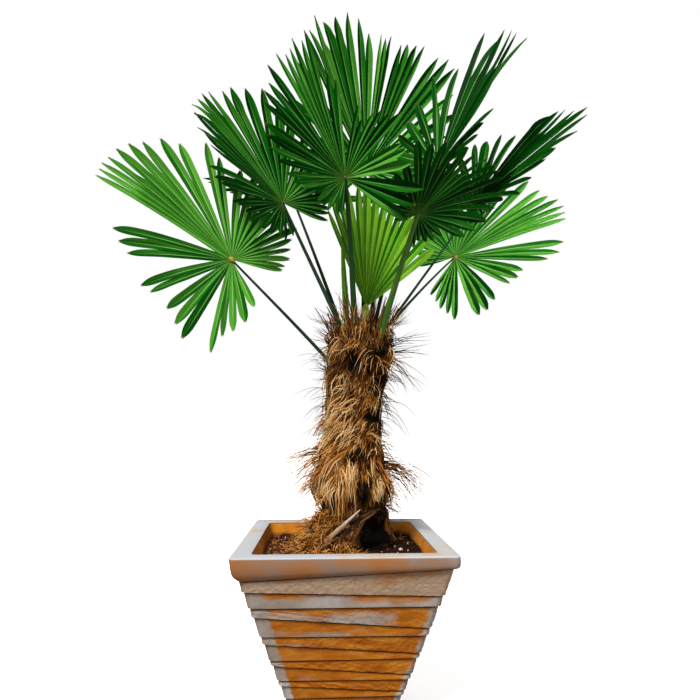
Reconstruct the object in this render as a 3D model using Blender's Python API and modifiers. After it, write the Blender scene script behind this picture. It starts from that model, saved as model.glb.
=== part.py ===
"""A windmill palm growing in a square, banded terracotta pot. Metres, +Z up.

The origin is the middle of the pot's underside. +Y points away from the viewer, +X to the right.
Run it with: blender --background --python part.py
"""
import math
import random
from typing import NamedTuple

import bmesh
import bpy
from mathutils import Vector

# Pot: the rim is the widest place, and the walls taper down to the foot.
RIM_WIDTH = 0.500
POT_HEIGHT = 0.406
RIM_LIP = 0.040
RIM_NOSE = 0.004
RIM_DISH = 0.001
RIM_INNER_EASE = 0.004
RIM_INNER_DROP = 0.006
CORNER_RADIUS = 0.014
BAND_HALF_WIDTH = 0.2405
TAPER = 0.352
BAND_STEP = 0.0045
BAND_CHAMFER = 0.0025
BAND_SHADOW_GAP = 0.0006
WALL = 0.022
FLOOR_THICKNESS = 0.022
FOOT_EASE = 0.006
DRAIN_RADIUS = 0.009
DRAIN_SIDES = 10
DRAIN_OFFSET = 0.045
# The rim's face leans out from its lower edge. These are places on it, each as how far out and how
# far up from that edge, at the corners where the edge is low and at the ones where it is high.
RIM_FACE_A = ((0.001, 0.000), (0.007, 0.006), (0.0123, 0.015), (0.0150, 0.029))
RIM_FACE_B = ((0.004, 0.000), (0.0075, 0.003), (0.0090, 0.008), (0.0095, 0.014))
# How far below the rim each band ends, at the front left corner and at the front right one.
# The back right corner repeats the first list and the back left one the second.
BAND_ENDS_A = (0.051, 0.076, 0.113, 0.134, 0.179, 0.197, 0.236, 0.249, 0.284, 0.297, 0.328, 0.343, 0.372)
BAND_ENDS_B = (0.028, 0.089, 0.113, 0.163, 0.181, 0.222, 0.235, 0.273, 0.286, 0.314, 0.326, 0.358, 0.370)

# Soil: its surface swells up to the trunk, and has low lumps away from it.
SOIL_TOP = POT_HEIGHT - 0.026
SOIL_SWELL = 0.012
SOIL_LUMPS = (0.0022, 0.0016)
LUMPS_START = 0.12
LUMPS_FULL = 0.17
SOIL_STEPS = 12
GAP = 0.0004

# Trunk
STUMP_RADIUS = 0.078
STUMP_BOTTOM = 0.200
HOLE_TOP = SOIL_TOP + 0.02
TRUNK_SIDES = 16
TRUNK_LOBES = 0.035
LOBE_TURN = 0.9
TRUNK_X = ((0.20, 0.043), (0.38, 0.040), (0.58, 0.022), (0.76, 0.030), (0.88, 0.047), (1.00, 0.055))
# Height of each station and the trunk's radius there, with its matted fibre.
TRUNK_PROFILE = (
    (0.384, 0.086), (0.398, 0.100), (0.418, 0.094), (0.426, 0.086), (0.465, 0.091), (0.478, 0.084),
    (0.520, 0.098), (0.560, 0.096), (0.572, 0.084), (0.620, 0.088), (0.636, 0.078), (0.690, 0.080),
    (0.702, 0.072), (0.750, 0.077), (0.762, 0.072), (0.820, 0.086), (0.834, 0.080), (0.880, 0.094),
    (0.905, 0.084), (0.935, 0.064), (0.952, 0.040),
)
CROWN_TOP = 0.960
CROWN_RADIUS = 0.018
GOLDEN_ANGLE = math.radians(137.5)
UP = Vector((0, 0, 1))
SEED = 11

# Old leaf stubs, in a spiral up the trunk. A section is its share of the stub's length, its share of
# the half width, and its half thickness.
BOOT_COUNT = 16
BOOT_HEIGHTS = (0.44, 0.87)
BOOT_LENGTHS = (0.075, 0.095)
BOOT_HALF_WIDTHS = (0.020, 0.014)
BOOT_LEAN = (0.42, 0.52)
BOOT_SINK = 0.024
BOOT_SECTIONS = ((0.0, 1.0, 0.010), (0.6, 0.62, 0.007), (1.0, 0.5, 0.005))

# Tufts of fibre: they hang on the trunk, lie flat by the soil and stand up in the crown.
TUFT_COUNT = 104
TUFT_HEIGHTS = (0.412, 0.920)
TUFT_LENGTHS = (0.034, 0.060)
TUFT_HALF_WIDTHS = (0.0035, 0.0055)
TUFT_DROP = 0.026
TUFT_SINK = 0.014
FLAT_TUFTS_BELOW = 0.446
STANDING_TUFTS = (0.78, 0.92)
SPIKE_MIDDLE = 0.55
SPIKE_WAIST = 0.7

# Fronds
BLADE_THICKNESS = 0.0012
PLEAT = 0.42
PLEAT_RISE = 0.0168
# A leaflet is widest at its shoulder. This is a share of its whole length and one of its free part,
# and the further out of the two places is taken.
SHOULDER = 0.74
SHOULDER_OUT = 0.25
# The cuts between fingers reach in to this share of the frond's length. Leaflets that are closer
# than the touching angle stay joined, even where they belong to two fingers.
WEB = 0.11
TOUCHING = math.radians(5)
MARGIN = 0.3
FOLD_EASE = 0.03
LEAFLET_HALF_WIDTH = 0.012
LEAFLET_FILL = 0.42
# The seeded draws: a leaflet's length, the depth of a cut, and a leaflet's swing and lift at its tip.
LENGTH_DRAW = (0.97, 1.02)
CUT_DRAW = (0.9, 1.05)
SWING_DRAW = (-0.1, 0.1)
LIFT_DRAW = (-0.04, 0.04)
PETIOLE_BASE = 0.0065
PETIOLE_END = 0.0035
PETIOLE_POINTS = 7
# A petiole leaves its root and reaches its hub in these ways, and each handle is a share of its span.
PETIOLE_LEAVE_UP = 0.05
PETIOLE_ARRIVE_ALONG = 0.25
PETIOLE_ARRIVE_FACE = 0.12
PETIOLE_HANDLES = (0.33, 0.30)


class Finger(NamedTuple):
    """Leaflets that stay joined for part of their length. Angles are in degrees from the blade's axis
    and lengths are shares of the frond's."""

    first: float
    last: float
    leaflets: int
    first_length: float
    last_length: float
    joined: float


class Frond(NamedTuple):
    """One fan leaf. hub is where the petiole meets the blade, axis the way its middle leaflets point,
    and face the side that its upper surface looks to. root is where the petiole leaves the crown: its
    bearing in degrees, its distance from the trunk's axis and its height. stalk is how thick the
    petiole is, as a share of the usual one."""

    name: str
    hub: tuple
    axis: tuple
    face: tuple
    length: float
    fold: float
    arch: float
    sag: float
    root: tuple
    fingers: tuple
    stalk: float = 1.0


BACK_FINGERS = (
    Finger(-146, -116, 3, 0.36, 0.48, 0.30), Finger(-101, -66, 4, 0.52, 0.68, 0.38),
    Finger(-54, -6, 6, 0.76, 1.00, 0.58), Finger(5, 53, 6, 1.00, 0.76, 0.58),
    Finger(65, 100, 4, 0.68, 0.52, 0.38), Finger(114, 146, 3, 0.48, 0.36, 0.30),
)

FRONDS = (
    Frond("frond_left_low", (-0.292, -0.070, 1.113), (-0.766, -0.02, 0.643), (0.15, -0.98, -0.05),
          0.435, 12, 0.05, 0.04, (203, 0.066, 0.834),
          (Finger(-152, -122, 5, 0.31, 0.39, 0.50), Finger(-112, -103, 2, 0.44, 0.44, 0.25),
           Finger(-93, -54, 5, 0.45, 0.60, 0.22), Finger(-42, -37, 2, 0.69, 0.77, 0.45),
           Finger(-26, -21, 2, 0.84, 0.92, 0.52), Finger(-14, -6, 3, 0.97, 1.06, 0.66),
           Finger(-2, 6, 4, 1.08, 1.03, 0.62), Finger(24.5, 38, 3, 0.76, 0.615, 0.52),
           Finger(59, 66.5, 2, 0.555, 0.505, 0.50), Finger(84, 102.5, 3, 0.49, 0.56, 0.35),
           Finger(119.5, 125, 2, 0.60, 0.49, 0.25), Finger(133, 155, 3, 0.465, 0.34, 0.25))),
    Frond("frond_left", (-0.158, -0.120, 1.250), (-0.58, -0.05, 0.80), (0.36, -0.91, 0.20),
          0.385, 28, 0.05, 0.03, (222, 0.050, 0.905),
          (Finger(-146, -112, 5, 0.32, 0.36, 0.60), Finger(-101, -55, 5, 0.42, 0.58, 0.30),
           Finger(-42, -20, 4, 0.74, 0.91, 0.50), Finger(-14, -10, 2, 0.94, 0.96, 0.60),
           Finger(-5, 4, 4, 0.99, 0.935, 0.64), Finger(8, 28, 5, 0.885, 0.60, 0.62),
           Finger(46, 66, 3, 0.54, 0.51, 0.35), Finger(79, 100, 4, 0.46, 0.45, 0.40),
           Finger(112, 150, 5, 0.38, 0.30, 0.40))),
    Frond("frond_front", (-0.001, -0.200, 1.283), (-0.15, -0.15, 0.98), (-0.28, -0.94, -0.19),
          0.420, 28, 0.04, 0.02, (247, 0.040, 0.915),
          (Finger(-131, -112, 3, 0.50, 0.55, 0.55), Finger(-96, -80, 3, 0.46, 0.43, 0.35),
           Finger(-62, -40, 4, 0.50, 0.40, 0.40), Finger(-31, -24, 2, 0.35, 0.42, 0.35),
           Finger(-3, 2, 2, 0.58, 0.64, 0.45), Finger(8, 22, 6, 0.90, 0.85, 0.62),
           Finger(28, 41, 4, 0.80, 0.66, 0.50), Finger(50, 70, 4, 0.56, 0.42, 0.30),
           Finger(82, 98, 3, 0.36, 0.28, 0.30), Finger(110, 166, 6, 0.22, 0.22, 0.30)), 1.3),
    Frond("frond_top", (0.074, 0.130, 1.467), (0.13, -0.10, 0.98), (0.20, -0.97, -0.10),
          0.465, 8, 0.03, 0.01, (75, 0.030, 0.930),
          (Finger(-138, -104, 3, 0.34, 0.46, 0.40), Finger(-90, -58, 4, 0.48, 0.62, 0.40),
           Finger(-48, -40, 2, 0.78, 0.86, 0.50), Finger(-32, -24, 3, 0.96, 0.98, 0.60),
           Finger(-17, -8, 4, 0.98, 0.93, 0.62), Finger(-3, 1, 3, 0.94, 0.93, 0.64),
           Finger(6, 10, 2, 0.96, 1.03, 0.62), Finger(15.5, 28.5, 4, 1.04, 1.03, 0.64),
           Finger(31, 35, 2, 0.98, 0.93, 0.60), Finger(46, 74, 3, 0.80, 0.60, 0.45),
           Finger(89, 138, 4, 0.50, 0.34, 0.40))),
    Frond("frond_right_high", (0.253, -0.080, 1.374), (0.455, -0.24, 0.875), (-0.837, -0.46, 0.297),
          0.440, 18, 0.03, 0.02, (332, 0.044, 0.925),
          (Finger(-142, -100, 4, 0.34, 0.44, 0.40), Finger(-86, -56, 4, 0.50, 0.53, 0.35),
           Finger(-26, -19, 2, 0.58, 0.66, 0.50), Finger(-13, 16, 6, 0.88, 0.98, 0.66),
           Finger(28, 38, 2, 0.82, 0.76, 0.55), Finger(50, 84, 4, 0.66, 0.52, 0.40),
           Finger(96, 140, 5, 0.46, 0.34, 0.40))),
    Frond("frond_front_right", (0.176, -0.200, 1.194), (0.52, -0.62, 0.58), (-0.20, 0.58, 0.79),
          0.280, 14, 0.04, 0.05, (312, 0.064, 0.898),
          (Finger(-140, -104, 3, 0.28, 0.30, 0.40), Finger(-90, -52, 4, 0.32, 0.50, 0.45),
           Finger(-38, -2, 5, 0.66, 0.70, 0.60), Finger(6, 40, 5, 0.70, 0.80, 0.62),
           Finger(52, 92, 5, 0.84, 0.70, 0.45), Finger(104, 145, 5, 0.62, 0.48, 0.35)), 1.5),
    Frond("frond_right_low", (0.357, 0.180, 1.209), (0.866, 0.00, 0.50), (0.15, -0.96, -0.06),
          0.385, 12, 0.04, 0.03, (25, 0.045, 0.915),
          (Finger(-152, -122, 5, 0.37, 0.53, 0.25), Finger(-101, -77, 3, 0.53, 0.48, 0.30),
           Finger(-56, -40, 3, 0.50, 0.57, 0.40), Finger(-30, -20, 3, 0.79, 0.945, 0.55),
           Finger(-8, -2, 3, 1.045, 1.06, 0.64), Finger(1.6, 10, 3, 1.04, 0.965, 0.62),
           Finger(17.5, 44, 4, 0.89, 0.62, 0.40), Finger(56, 92, 4, 0.54, 0.44, 0.25),
           Finger(104, 164, 7, 0.40, 0.32, 0.50))),
    Frond("frond_right", (0.383, 0.030, 1.324), (0.71, -0.10, 0.70), (-0.60, -0.60, 0.53),
          0.425, 18, 0.03, 0.03, (350, 0.040, 0.900),
          (Finger(-145, -104, 5, 0.34, 0.42, 0.35), Finger(-92, -62, 3, 0.42, 0.48, 0.35),
           Finger(-46, -30, 2, 0.54, 0.62, 0.45), Finger(-20, -14, 2, 0.80, 0.92, 0.55),
           Finger(-4, 13, 5, 1.00, 0.95, 0.72), Finger(22, 46, 4, 0.70, 0.60, 0.50),
           Finger(58, 92, 4, 0.50, 0.42, 0.40), Finger(104, 145, 5, 0.42, 0.34, 0.40))),
    Frond("frond_young", (0.068, 0.020, 1.034), (0.17, -0.02, 0.985), (0.0, -1.0, 0.0),
          0.340, 14, 0.01, 0.00, (20, 0.008, 0.935),
          (Finger(-40, -32, 2, 0.72, 0.82, 0.50), Finger(-25, 24, 11, 0.94, 0.96, 0.78),
           Finger(33, 40, 2, 0.72, 0.60, 0.55))),
    Frond("frond_back_left", (-0.150, 0.160, 1.380), (-0.45, 0.78, 0.44), (0.15, -0.45, 0.88),
          0.390, 14, 0.10, 0.06, (150, 0.044, 0.915), BACK_FINGERS),
    Frond("frond_back", (0.140, 0.250, 1.300), (0.26, 0.93, 0.26), (-0.06, -0.26, 0.96),
          0.320, 12, 0.06, 0.05, (70, 0.056, 0.895),
          (Finger(-85, -60, 3, 0.55, 0.66, 0.38), Finger(-50, -6, 6, 0.76, 1.00, 0.58),
           Finger(5, 44, 5, 1.00, 0.80, 0.58))),
    Frond("frond_back_right", (0.215, 0.280, 1.430), (0.45, 0.78, 0.44), (-0.15, -0.45, 0.88),
          0.390, 14, 0.10, 0.06, (50, 0.046, 0.910), BACK_FINGERS),
)

# Spear: the next leaf, still closed
SPEAR_FOOT = (0.012, -0.012, 0.925)
SPEAR_TIP = (-0.005, -0.050, 1.195)
SPEAR_RADIUS = 0.0075
SPEAR_WIDTHS = ((0.0, 0.8), (0.3, 1.0), (0.65, 0.8), (0.9, 0.4), (1.0, 0.1))


def trunk_centre(z):
    """The trunk's axis leans a little: this is its place at height z."""
    for (z0, x0), (z1, x1) in zip(TRUNK_X, TRUNK_X[1:]):
        if z <= z1:
            t = (z - z0) / (z1 - z0)
            return Vector((x0 + (x1 - x0) * t * t * (3 - 2 * t), 0, z))
    return Vector((TRUNK_X[-1][1], 0, z))


def material(name, colour, roughness):
    made = bpy.data.materials.new(name)
    made.use_nodes = True
    shader = made.node_tree.nodes["Principled BSDF"]
    shader.inputs["Base Color"].default_value = (*colour, 1)
    shader.inputs["Roughness"].default_value = roughness
    made.diffuse_color = (*colour, 1)
    return made


def new_object(name, mesh, collection, finish=None):
    made = bpy.data.objects.new(name, mesh)
    collection.objects.link(made)
    if finish:
        made.data.materials.append(finish)
    return made


def mesh_from(bm, name):
    """Writes the bmesh to a new mesh and frees it."""
    mesh = bpy.data.meshes.new(name)
    bm.to_mesh(mesh)
    bm.free()
    return mesh


def loft(bm, rings, cap_start=True, cap_end=True):
    """Joins rings of points, each with the same count, by quads. The rings run anticlockwise seen from
    the far end, so the faces point outwards."""
    made = [[bm.verts.new(p) for p in ring] for ring in rings]
    count = len(rings[0])
    for low, high in zip(made, made[1:]):
        for i in range(count):
            j = (i + 1) % count
            bm.faces.new((low[i], low[j], high[j], high[i]))
    if cap_start:
        bm.faces.new(list(reversed(made[0])))
    if cap_end:
        bm.faces.new(made[-1])
    return made


def evaluated_mesh(obj):
    """The object's mesh with its modifiers applied."""
    graph = bpy.context.evaluated_depsgraph_get()
    return bpy.data.meshes.new_from_object(obj.evaluated_get(graph), depsgraph=graph)


def apply_modifiers(obj):
    mesh = evaluated_mesh(obj)
    obj.modifiers.clear()
    obj.data = mesh


def boolean(obj, other, operation, solver="EXACT"):
    """Joins or cuts obj by one object or by a collection, and removes what it used."""
    modifier = obj.modifiers.new(operation.lower(), "BOOLEAN")
    modifier.operation = operation
    modifier.solver = solver
    several = isinstance(other, bpy.types.Collection)
    if several:
        modifier.operand_type = "COLLECTION"
        modifier.collection = other
    else:
        modifier.object = other
    apply_modifiers(obj)
    for used in list(other.objects) if several else [other]:
        bpy.data.objects.remove(used)
    if several:
        bpy.data.collections.remove(other)


def new_collection(name):
    made = bpy.data.collections.new(name)
    bpy.context.scene.collection.children.link(made)
    return made


def tube(name, path, radii, collection, resolution=1):
    """A closed tube along a path, as a welded mesh."""
    curve = bpy.data.curves.new(name, "CURVE")
    curve.dimensions = "3D"
    curve.bevel_depth = 1.0
    curve.bevel_resolution = resolution
    curve.use_fill_caps = True
    spline = curve.splines.new("POLY")
    spline.points.add(len(path) - 1)
    for point, place, radius in zip(spline.points, path, radii):
        point.co = (*place, 1)
        point.radius = radius
    guide = bpy.data.objects.new(name + "_curve", curve)
    collection.objects.link(guide)
    bpy.context.view_layer.update()
    bm = bmesh.new()
    mesh = evaluated_mesh(guide)
    bm.from_mesh(mesh)
    bpy.data.meshes.remove(mesh)
    bmesh.ops.remove_doubles(bm, verts=bm.verts, dist=0.00001)
    bmesh.ops.recalc_face_normals(bm, faces=bm.faces)
    bpy.data.objects.remove(guide)
    bpy.data.curves.remove(curve)
    return new_object(name, mesh_from(bm, name), collection)


# Pot


def pot_half_width(depth):
    """Half the pot's width at this depth below the rim, on the line that the bands step about."""
    return BAND_HALF_WIDTH - TAPER * (depth - BAND_ENDS_B[0])


def square_ring(half_a, depth_a, half_b, depth_b):
    """A square ring with rounded corners. A is the front left and back right corner, B the other two.
    It runs anticlockwise seen from above."""
    corners = ((1, -1, half_b, depth_b), (1, 1, half_a, depth_a), (-1, 1, half_b, depth_b),
               (-1, -1, half_a, depth_a))
    ring = []
    for turn, (sx, sy, half, depth) in enumerate(corners):
        start = math.radians(-90 + 90 * turn)
        reach = half - CORNER_RADIUS
        for step in range(3):
            angle = start + math.radians(45) * step
            ring.append(Vector((sx * reach + CORNER_RADIUS * math.cos(angle),
                                sy * reach + CORNER_RADIUS * math.sin(angle), POT_HEIGHT - depth)))
    return ring


def even_ring(half, z):
    return square_ring(half, POT_HEIGHT - z, half, POT_HEIGHT - z)


def band_rings():
    """The outside of the pot from the foot up: each band leans out to its lower lip, which hangs over
    the band below it."""
    base = pot_half_width(POT_HEIGHT)
    rings = [even_ring(base, 0.0), even_ring(base + BAND_CHAMFER, FOOT_EASE)]
    ends = list(zip(BAND_ENDS_A, BAND_ENDS_B))
    for number in range(len(ends) - 1, 0, -1):
        low, high = ends[number], ends[number - 1]
        lip = [pot_half_width(d) + BAND_STEP / 2 for d in low]
        tuck = [pot_half_width(d) - BAND_STEP / 2 for d in high]
        rings.append(square_ring(lip[0] - BAND_STEP, low[0], lip[1] - BAND_STEP, low[1]))
        rings.append(square_ring(lip[0], low[0] - BAND_CHAMFER, lip[1], low[1] - BAND_CHAMFER))
        rings.append(square_ring(tuck[0], high[0] + BAND_SHADOW_GAP, tuck[1], high[1] + BAND_SHADOW_GAP))
    return rings


def rim_rings():
    """The rim's face, its rounded nose and its flat top."""
    a, b = BAND_ENDS_A[0], BAND_ENDS_B[0]
    half_a, half_b = pot_half_width(a), pot_half_width(b)
    top = RIM_WIDTH / 2
    ease = RIM_NOSE * (1 - math.cos(math.radians(45)))
    rings = [square_ring(half_a - BAND_STEP / 2, a, half_b - BAND_STEP / 2, b)]
    for (out_a, up_a), (out_b, up_b) in zip(RIM_FACE_A, RIM_FACE_B):
        rings.append(square_ring(half_a + out_a, a - up_a, half_b + out_b, b - up_b))
    rings.append(even_ring(top, POT_HEIGHT - RIM_NOSE))
    rings.append(even_ring(top - ease, POT_HEIGHT - ease))
    rings.append(even_ring(top - RIM_NOSE, POT_HEIGHT))
    rings.append(even_ring(top - RIM_LIP, POT_HEIGHT - RIM_DISH))
    rings.append(even_ring(top - RIM_LIP - RIM_INNER_EASE, POT_HEIGHT - RIM_INNER_DROP))
    return rings


def cavity_half_width(z):
    """Half the width of the pot's inside at height z: one even taper from the rim to the floor."""
    low = pot_half_width(POT_HEIGHT - FLOOR_THICKNESS) - WALL
    high = RIM_WIDTH / 2 - RIM_LIP - RIM_INNER_EASE
    return low + (high - low) * (z - FLOOR_THICKNESS) / (POT_HEIGHT - RIM_INNER_DROP - FLOOR_THICKNESS)


def make_pot(collection):
    """The fired pot is one piece: banded walls, rim, floor and four drain holes."""
    bm = bmesh.new()
    rings = band_rings() + rim_rings()
    rings.append(even_ring(cavity_half_width(FLOOR_THICKNESS), FLOOR_THICKNESS))
    loft(bm, rings)
    pot = new_object("pot", mesh_from(bm, "pot"), collection,
                     material("terracotta", (0.68, 0.36, 0.12), 0.8))
    drains = new_collection("drain_cutters")
    for sx in (-1, 1):
        for sy in (-1, 1):
            bm = bmesh.new()
            bmesh.ops.create_cone(bm, cap_ends=True, segments=DRAIN_SIDES, radius1=DRAIN_RADIUS,
                                  radius2=DRAIN_RADIUS, depth=FLOOR_THICKNESS * 3)
            cutter = new_object("drain", mesh_from(bm, "drain"), drains)
            cutter.location = (sx * DRAIN_OFFSET, sy * DRAIN_OFFSET, FLOOR_THICKNESS / 2)
    bpy.context.view_layer.update()
    boolean(pot, drains, "DIFFERENCE")
    return pot


# Soil


def soil_height(x, y):
    """The surface: higher by the trunk, with low lumps, and flat where the trunk stands."""
    middle = trunk_centre(SOIL_TOP)
    away = math.hypot(x - middle.x, y - middle.y)
    edge = cavity_half_width(SOIL_TOP)
    swell = SOIL_SWELL * (max(0.0, 1 - away / edge) ** 0.7 - 0.9)
    coarse, fine = SOIL_LUMPS
    lumps = coarse * math.sin(61 * x + 1.3) * math.cos(53 * y - 0.4) + fine * math.sin(97 * x - 71 * y)
    return SOIL_TOP + swell + lumps * min(1.0, max(0.0, (away - LUMPS_START) / (LUMPS_FULL - LUMPS_START)))


def trunk_hole(collection):
    """The cutter for the plain hole that the trunk's foot stands in."""
    bm = bmesh.new()
    radius = STUMP_RADIUS + GAP
    loft(bm, [ring_about(trunk_centre(z), radius, TRUNK_SIDES) for z in (STUMP_BOTTOM - GAP, HOLE_TOP)])
    return new_object("trunk_hole", mesh_from(bm, "trunk_hole"), collection)


def make_soil(collection):
    """Potting soil fills the pot, and the trunk's foot stands in it."""
    bm = bmesh.new()
    high = SOIL_TOP - SOIL_SWELL
    rings = [even_ring(cavity_half_width(z) - 2 * GAP, z) for z in (FLOOR_THICKNESS + GAP, high)]
    loft(bm, rings, cap_end=False)
    half = cavity_half_width(high) - 3 * GAP - CORNER_RADIUS * 0.4
    lines = [-half + 2 * half * i / SOIL_STEPS for i in range(SOIL_STEPS + 1)]
    grid = [[bm.verts.new((x, y, soil_height(x, y))) for y in lines] for x in lines]
    for row, next_row in zip(grid, grid[1:]):
        for j in range(SOIL_STEPS):
            bm.faces.new((row[j], next_row[j], next_row[j + 1], row[j + 1]))
    bmesh.ops.bridge_loops(bm, edges=[edge for edge in bm.edges if edge.is_boundary])
    bmesh.ops.recalc_face_normals(bm, faces=bm.faces)
    soil = new_object("soil", mesh_from(bm, "soil"), collection, material("soil", (0.06, 0.03, 0.02), 0.95))
    boolean(soil, trunk_hole(collection), "DIFFERENCE")
    return soil


# Trunk


def ring_about(centre, radius, sides, lobes=0.0, phase=0.0):
    """A round ring with three and five shallow lobes."""
    ring = []
    for i in range(sides):
        angle = 2 * math.pi * i / sides
        swell = math.sin(3 * angle + phase) + 0.6 * math.sin(5 * angle - 2 * phase)
        out = radius * (1 + lobes * swell)
        ring.append(centre + Vector((out * math.cos(angle), out * math.sin(angle), 0)))
    return ring


def trunk_radius(z):
    for (z0, r0), (z1, r1) in zip(TRUNK_PROFILE, TRUNK_PROFILE[1:]):
        if z <= z1:
            return r0 + (r1 - r0) * max(0.0, z - z0) / (z1 - z0)
    return TRUNK_PROFILE[-1][1]


def spike(name, base, out, length, width, bend, collection):
    """A curved three-sided spike that starts inside the trunk: bend is how far its tip is carried."""
    side = out.cross(UP).normalized()
    across = side.cross(out).normalized()
    middle = base + out * length * SPIKE_MIDDLE + bend * SPIKE_MIDDLE ** 2
    tip = base + out * length + bend
    rings = []
    for place, half in ((base, width), (middle, width * SPIKE_WAIST)):
        rings.append([place + side * half * math.cos(a) + across * half * math.sin(a)
                      for a in (math.radians(90), math.radians(210), math.radians(330))])
    bm = bmesh.new()
    loops = loft(bm, rings, cap_start=True, cap_end=False)
    point = bm.verts.new(tip)
    for i in range(3):
        bm.faces.new((loops[1][i], loops[1][(i + 1) % 3], point))
    bmesh.ops.recalc_face_normals(bm, faces=bm.faces)
    return new_object(name, mesh_from(bm, name), collection)


def boot(name, base, out, length, width, collection):
    """The cut stub of an old petiole: a flat tapering slab that leans out of the trunk."""
    side = out.cross(UP).normalized()
    across = side.cross(out).normalized()
    rings = []
    for along, share, thick in BOOT_SECTIONS:
        centre = base + out * length * along
        rings.append([centre + side * width * share * sx + across * thick * sy
                      for sx, sy in ((-1, -1), (1, -1), (1, 1), (-1, 1))])
    bm = bmesh.new()
    loft(bm, rings)
    bmesh.ops.recalc_face_normals(bm, faces=bm.faces)
    return new_object(name, mesh_from(bm, name), collection)


def between(ends, share):
    return ends[0] + (ends[1] - ends[0]) * share


def bearing(angle):
    return Vector((math.cos(angle), math.sin(angle), 0))


def add_boots(draw, repeats):
    """The cut stubs of old leaves, in a spiral up the trunk."""
    for number in range(BOOT_COUNT):
        share = number / (BOOT_COUNT - 1)
        z = between(BOOT_HEIGHTS, share)
        outward = bearing(GOLDEN_ANGLE * number)
        out = (outward * draw.uniform(*BOOT_LEAN) + UP).normalized()
        base = trunk_centre(z) + outward * (trunk_radius(z) - BOOT_SINK)
        boot("boot", base, out, between(BOOT_LENGTHS, share), between(BOOT_HALF_WIDTHS, share), repeats)


def add_tufts(draw, repeats):
    """The tufts of fibre between the stubs."""
    for number in range(TUFT_COUNT):
        z = between(TUFT_HEIGHTS, (number + 0.5) / TUFT_COUNT)
        low, high = STANDING_TUFTS
        crown = max(0.0, (z - low) / (high - low))
        outward = bearing(GOLDEN_ANGLE * number + draw.uniform(-0.3, 0.3))
        out = (outward + UP * (-0.25 + 1.1 * crown + draw.uniform(-0.2, 0.2))).normalized()
        bend = UP * (-TUFT_DROP * (1 - crown)) + outward.cross(UP) * draw.uniform(-0.015, 0.015)
        if z < FLAT_TUFTS_BELOW:
            out = outward
            bend = outward.cross(UP) * draw.uniform(-0.01, 0.01)
        base = trunk_centre(z) + outward * (trunk_radius(z) - TUFT_SINK)
        spike("tuft", base, out, draw.uniform(*TUFT_LENGTHS), draw.uniform(*TUFT_HALF_WIDTHS), bend, repeats)


def trunk_repeats():
    draw = random.Random(SEED)
    repeats = new_collection("trunk_repeats")
    add_boots(draw, repeats)
    add_tufts(draw, repeats)
    return repeats


def drop_scraps(obj):
    """Keeps only the largest of the mesh's separate pieces."""
    bm = bmesh.new()
    bm.from_mesh(obj.data)
    left = set(bm.verts)
    largest = set()
    while left:
        piece, edge = set(), [left.pop()]
        while edge:
            vert = edge.pop()
            piece.add(vert)
            near = {e.other_vert(vert) for e in vert.link_edges} & left
            left -= near
            edge.extend(near)
        if len(piece) > len(largest):
            largest = piece
    bmesh.ops.delete(bm, geom=[v for v in bm.verts if v not in largest], context="VERTS")
    bm.to_mesh(obj.data)
    bm.free()


def make_trunk(collection, sockets):
    """The trunk with its matted fibre, old leaf stubs and tufts is one grown piece."""
    bm = bmesh.new()
    rings = [ring_about(trunk_centre(STUMP_BOTTOM), STUMP_RADIUS, TRUNK_SIDES),
             ring_about(trunk_centre(TRUNK_PROFILE[0][0]), STUMP_RADIUS, TRUNK_SIDES)]
    for number, (z, radius) in enumerate(TRUNK_PROFILE):
        rings.append(ring_about(trunk_centre(z), radius, TRUNK_SIDES, TRUNK_LOBES, LOBE_TURN * number))
    rings.append(ring_about(trunk_centre(CROWN_TOP), CROWN_RADIUS, TRUNK_SIDES))
    loft(bm, rings)
    trunk = new_object("trunk", mesh_from(bm, "trunk"), collection,
                       material("palm_fibre", (0.34, 0.17, 0.06), 0.9))
    boolean(trunk, trunk_repeats(), "UNION", "MANIFOLD")
    boolean(trunk, sockets, "DIFFERENCE", "MANIFOLD")
    drop_scraps(trunk)
    return trunk


# Fronds


def frame_of(frond):
    """The blade's own directions: along its middle leaflet, to its side, and out of its upper face."""
    along = Vector(frond.axis).normalized()
    face = Vector(frond.face)
    face = (face - along * face.dot(along)).normalized()
    return along, face.cross(along).normalized(), face


def fan_point(frond, phi, reach, lift=0.0):
    """The place on the fan at angle phi from the middle leaflet and at this distance from the hub."""
    along, side, face = frame_of(frond)
    fold = math.radians(frond.fold)
    rise = math.sqrt(math.sin(phi) ** 2 + FOLD_EASE) - math.sqrt(FOLD_EASE)
    way = along * math.cos(phi) + side * (math.sin(phi) * math.cos(fold)) + face * (math.sin(fold) * rise)
    share = reach / frond.length
    drop = UP * (frond.sag * frond.length * share ** 3)
    return Vector(frond.hub) + way * reach + face * (lift - frond.arch * frond.length * share ** 2) - drop


class Leaflet(NamedTuple):
    phi: float
    length: float
    joined: float
    finger: int


def leaflets_of(frond):
    """The leaflets of each finger in turn, from the right margin of the blade to the left one."""
    draw = random.Random(frond.name)
    made = []
    for number, finger in enumerate(frond.fingers):
        for i in range(finger.leaflets):
            t = i / max(1, finger.leaflets - 1)
            share = finger.first_length + (finger.last_length - finger.first_length) * t
            made.append(Leaflet(math.radians(finger.first + (finger.last - finger.first) * t),
                                frond.length * share * draw.uniform(*LENGTH_DRAW), finger.joined, number))
    return made


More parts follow.
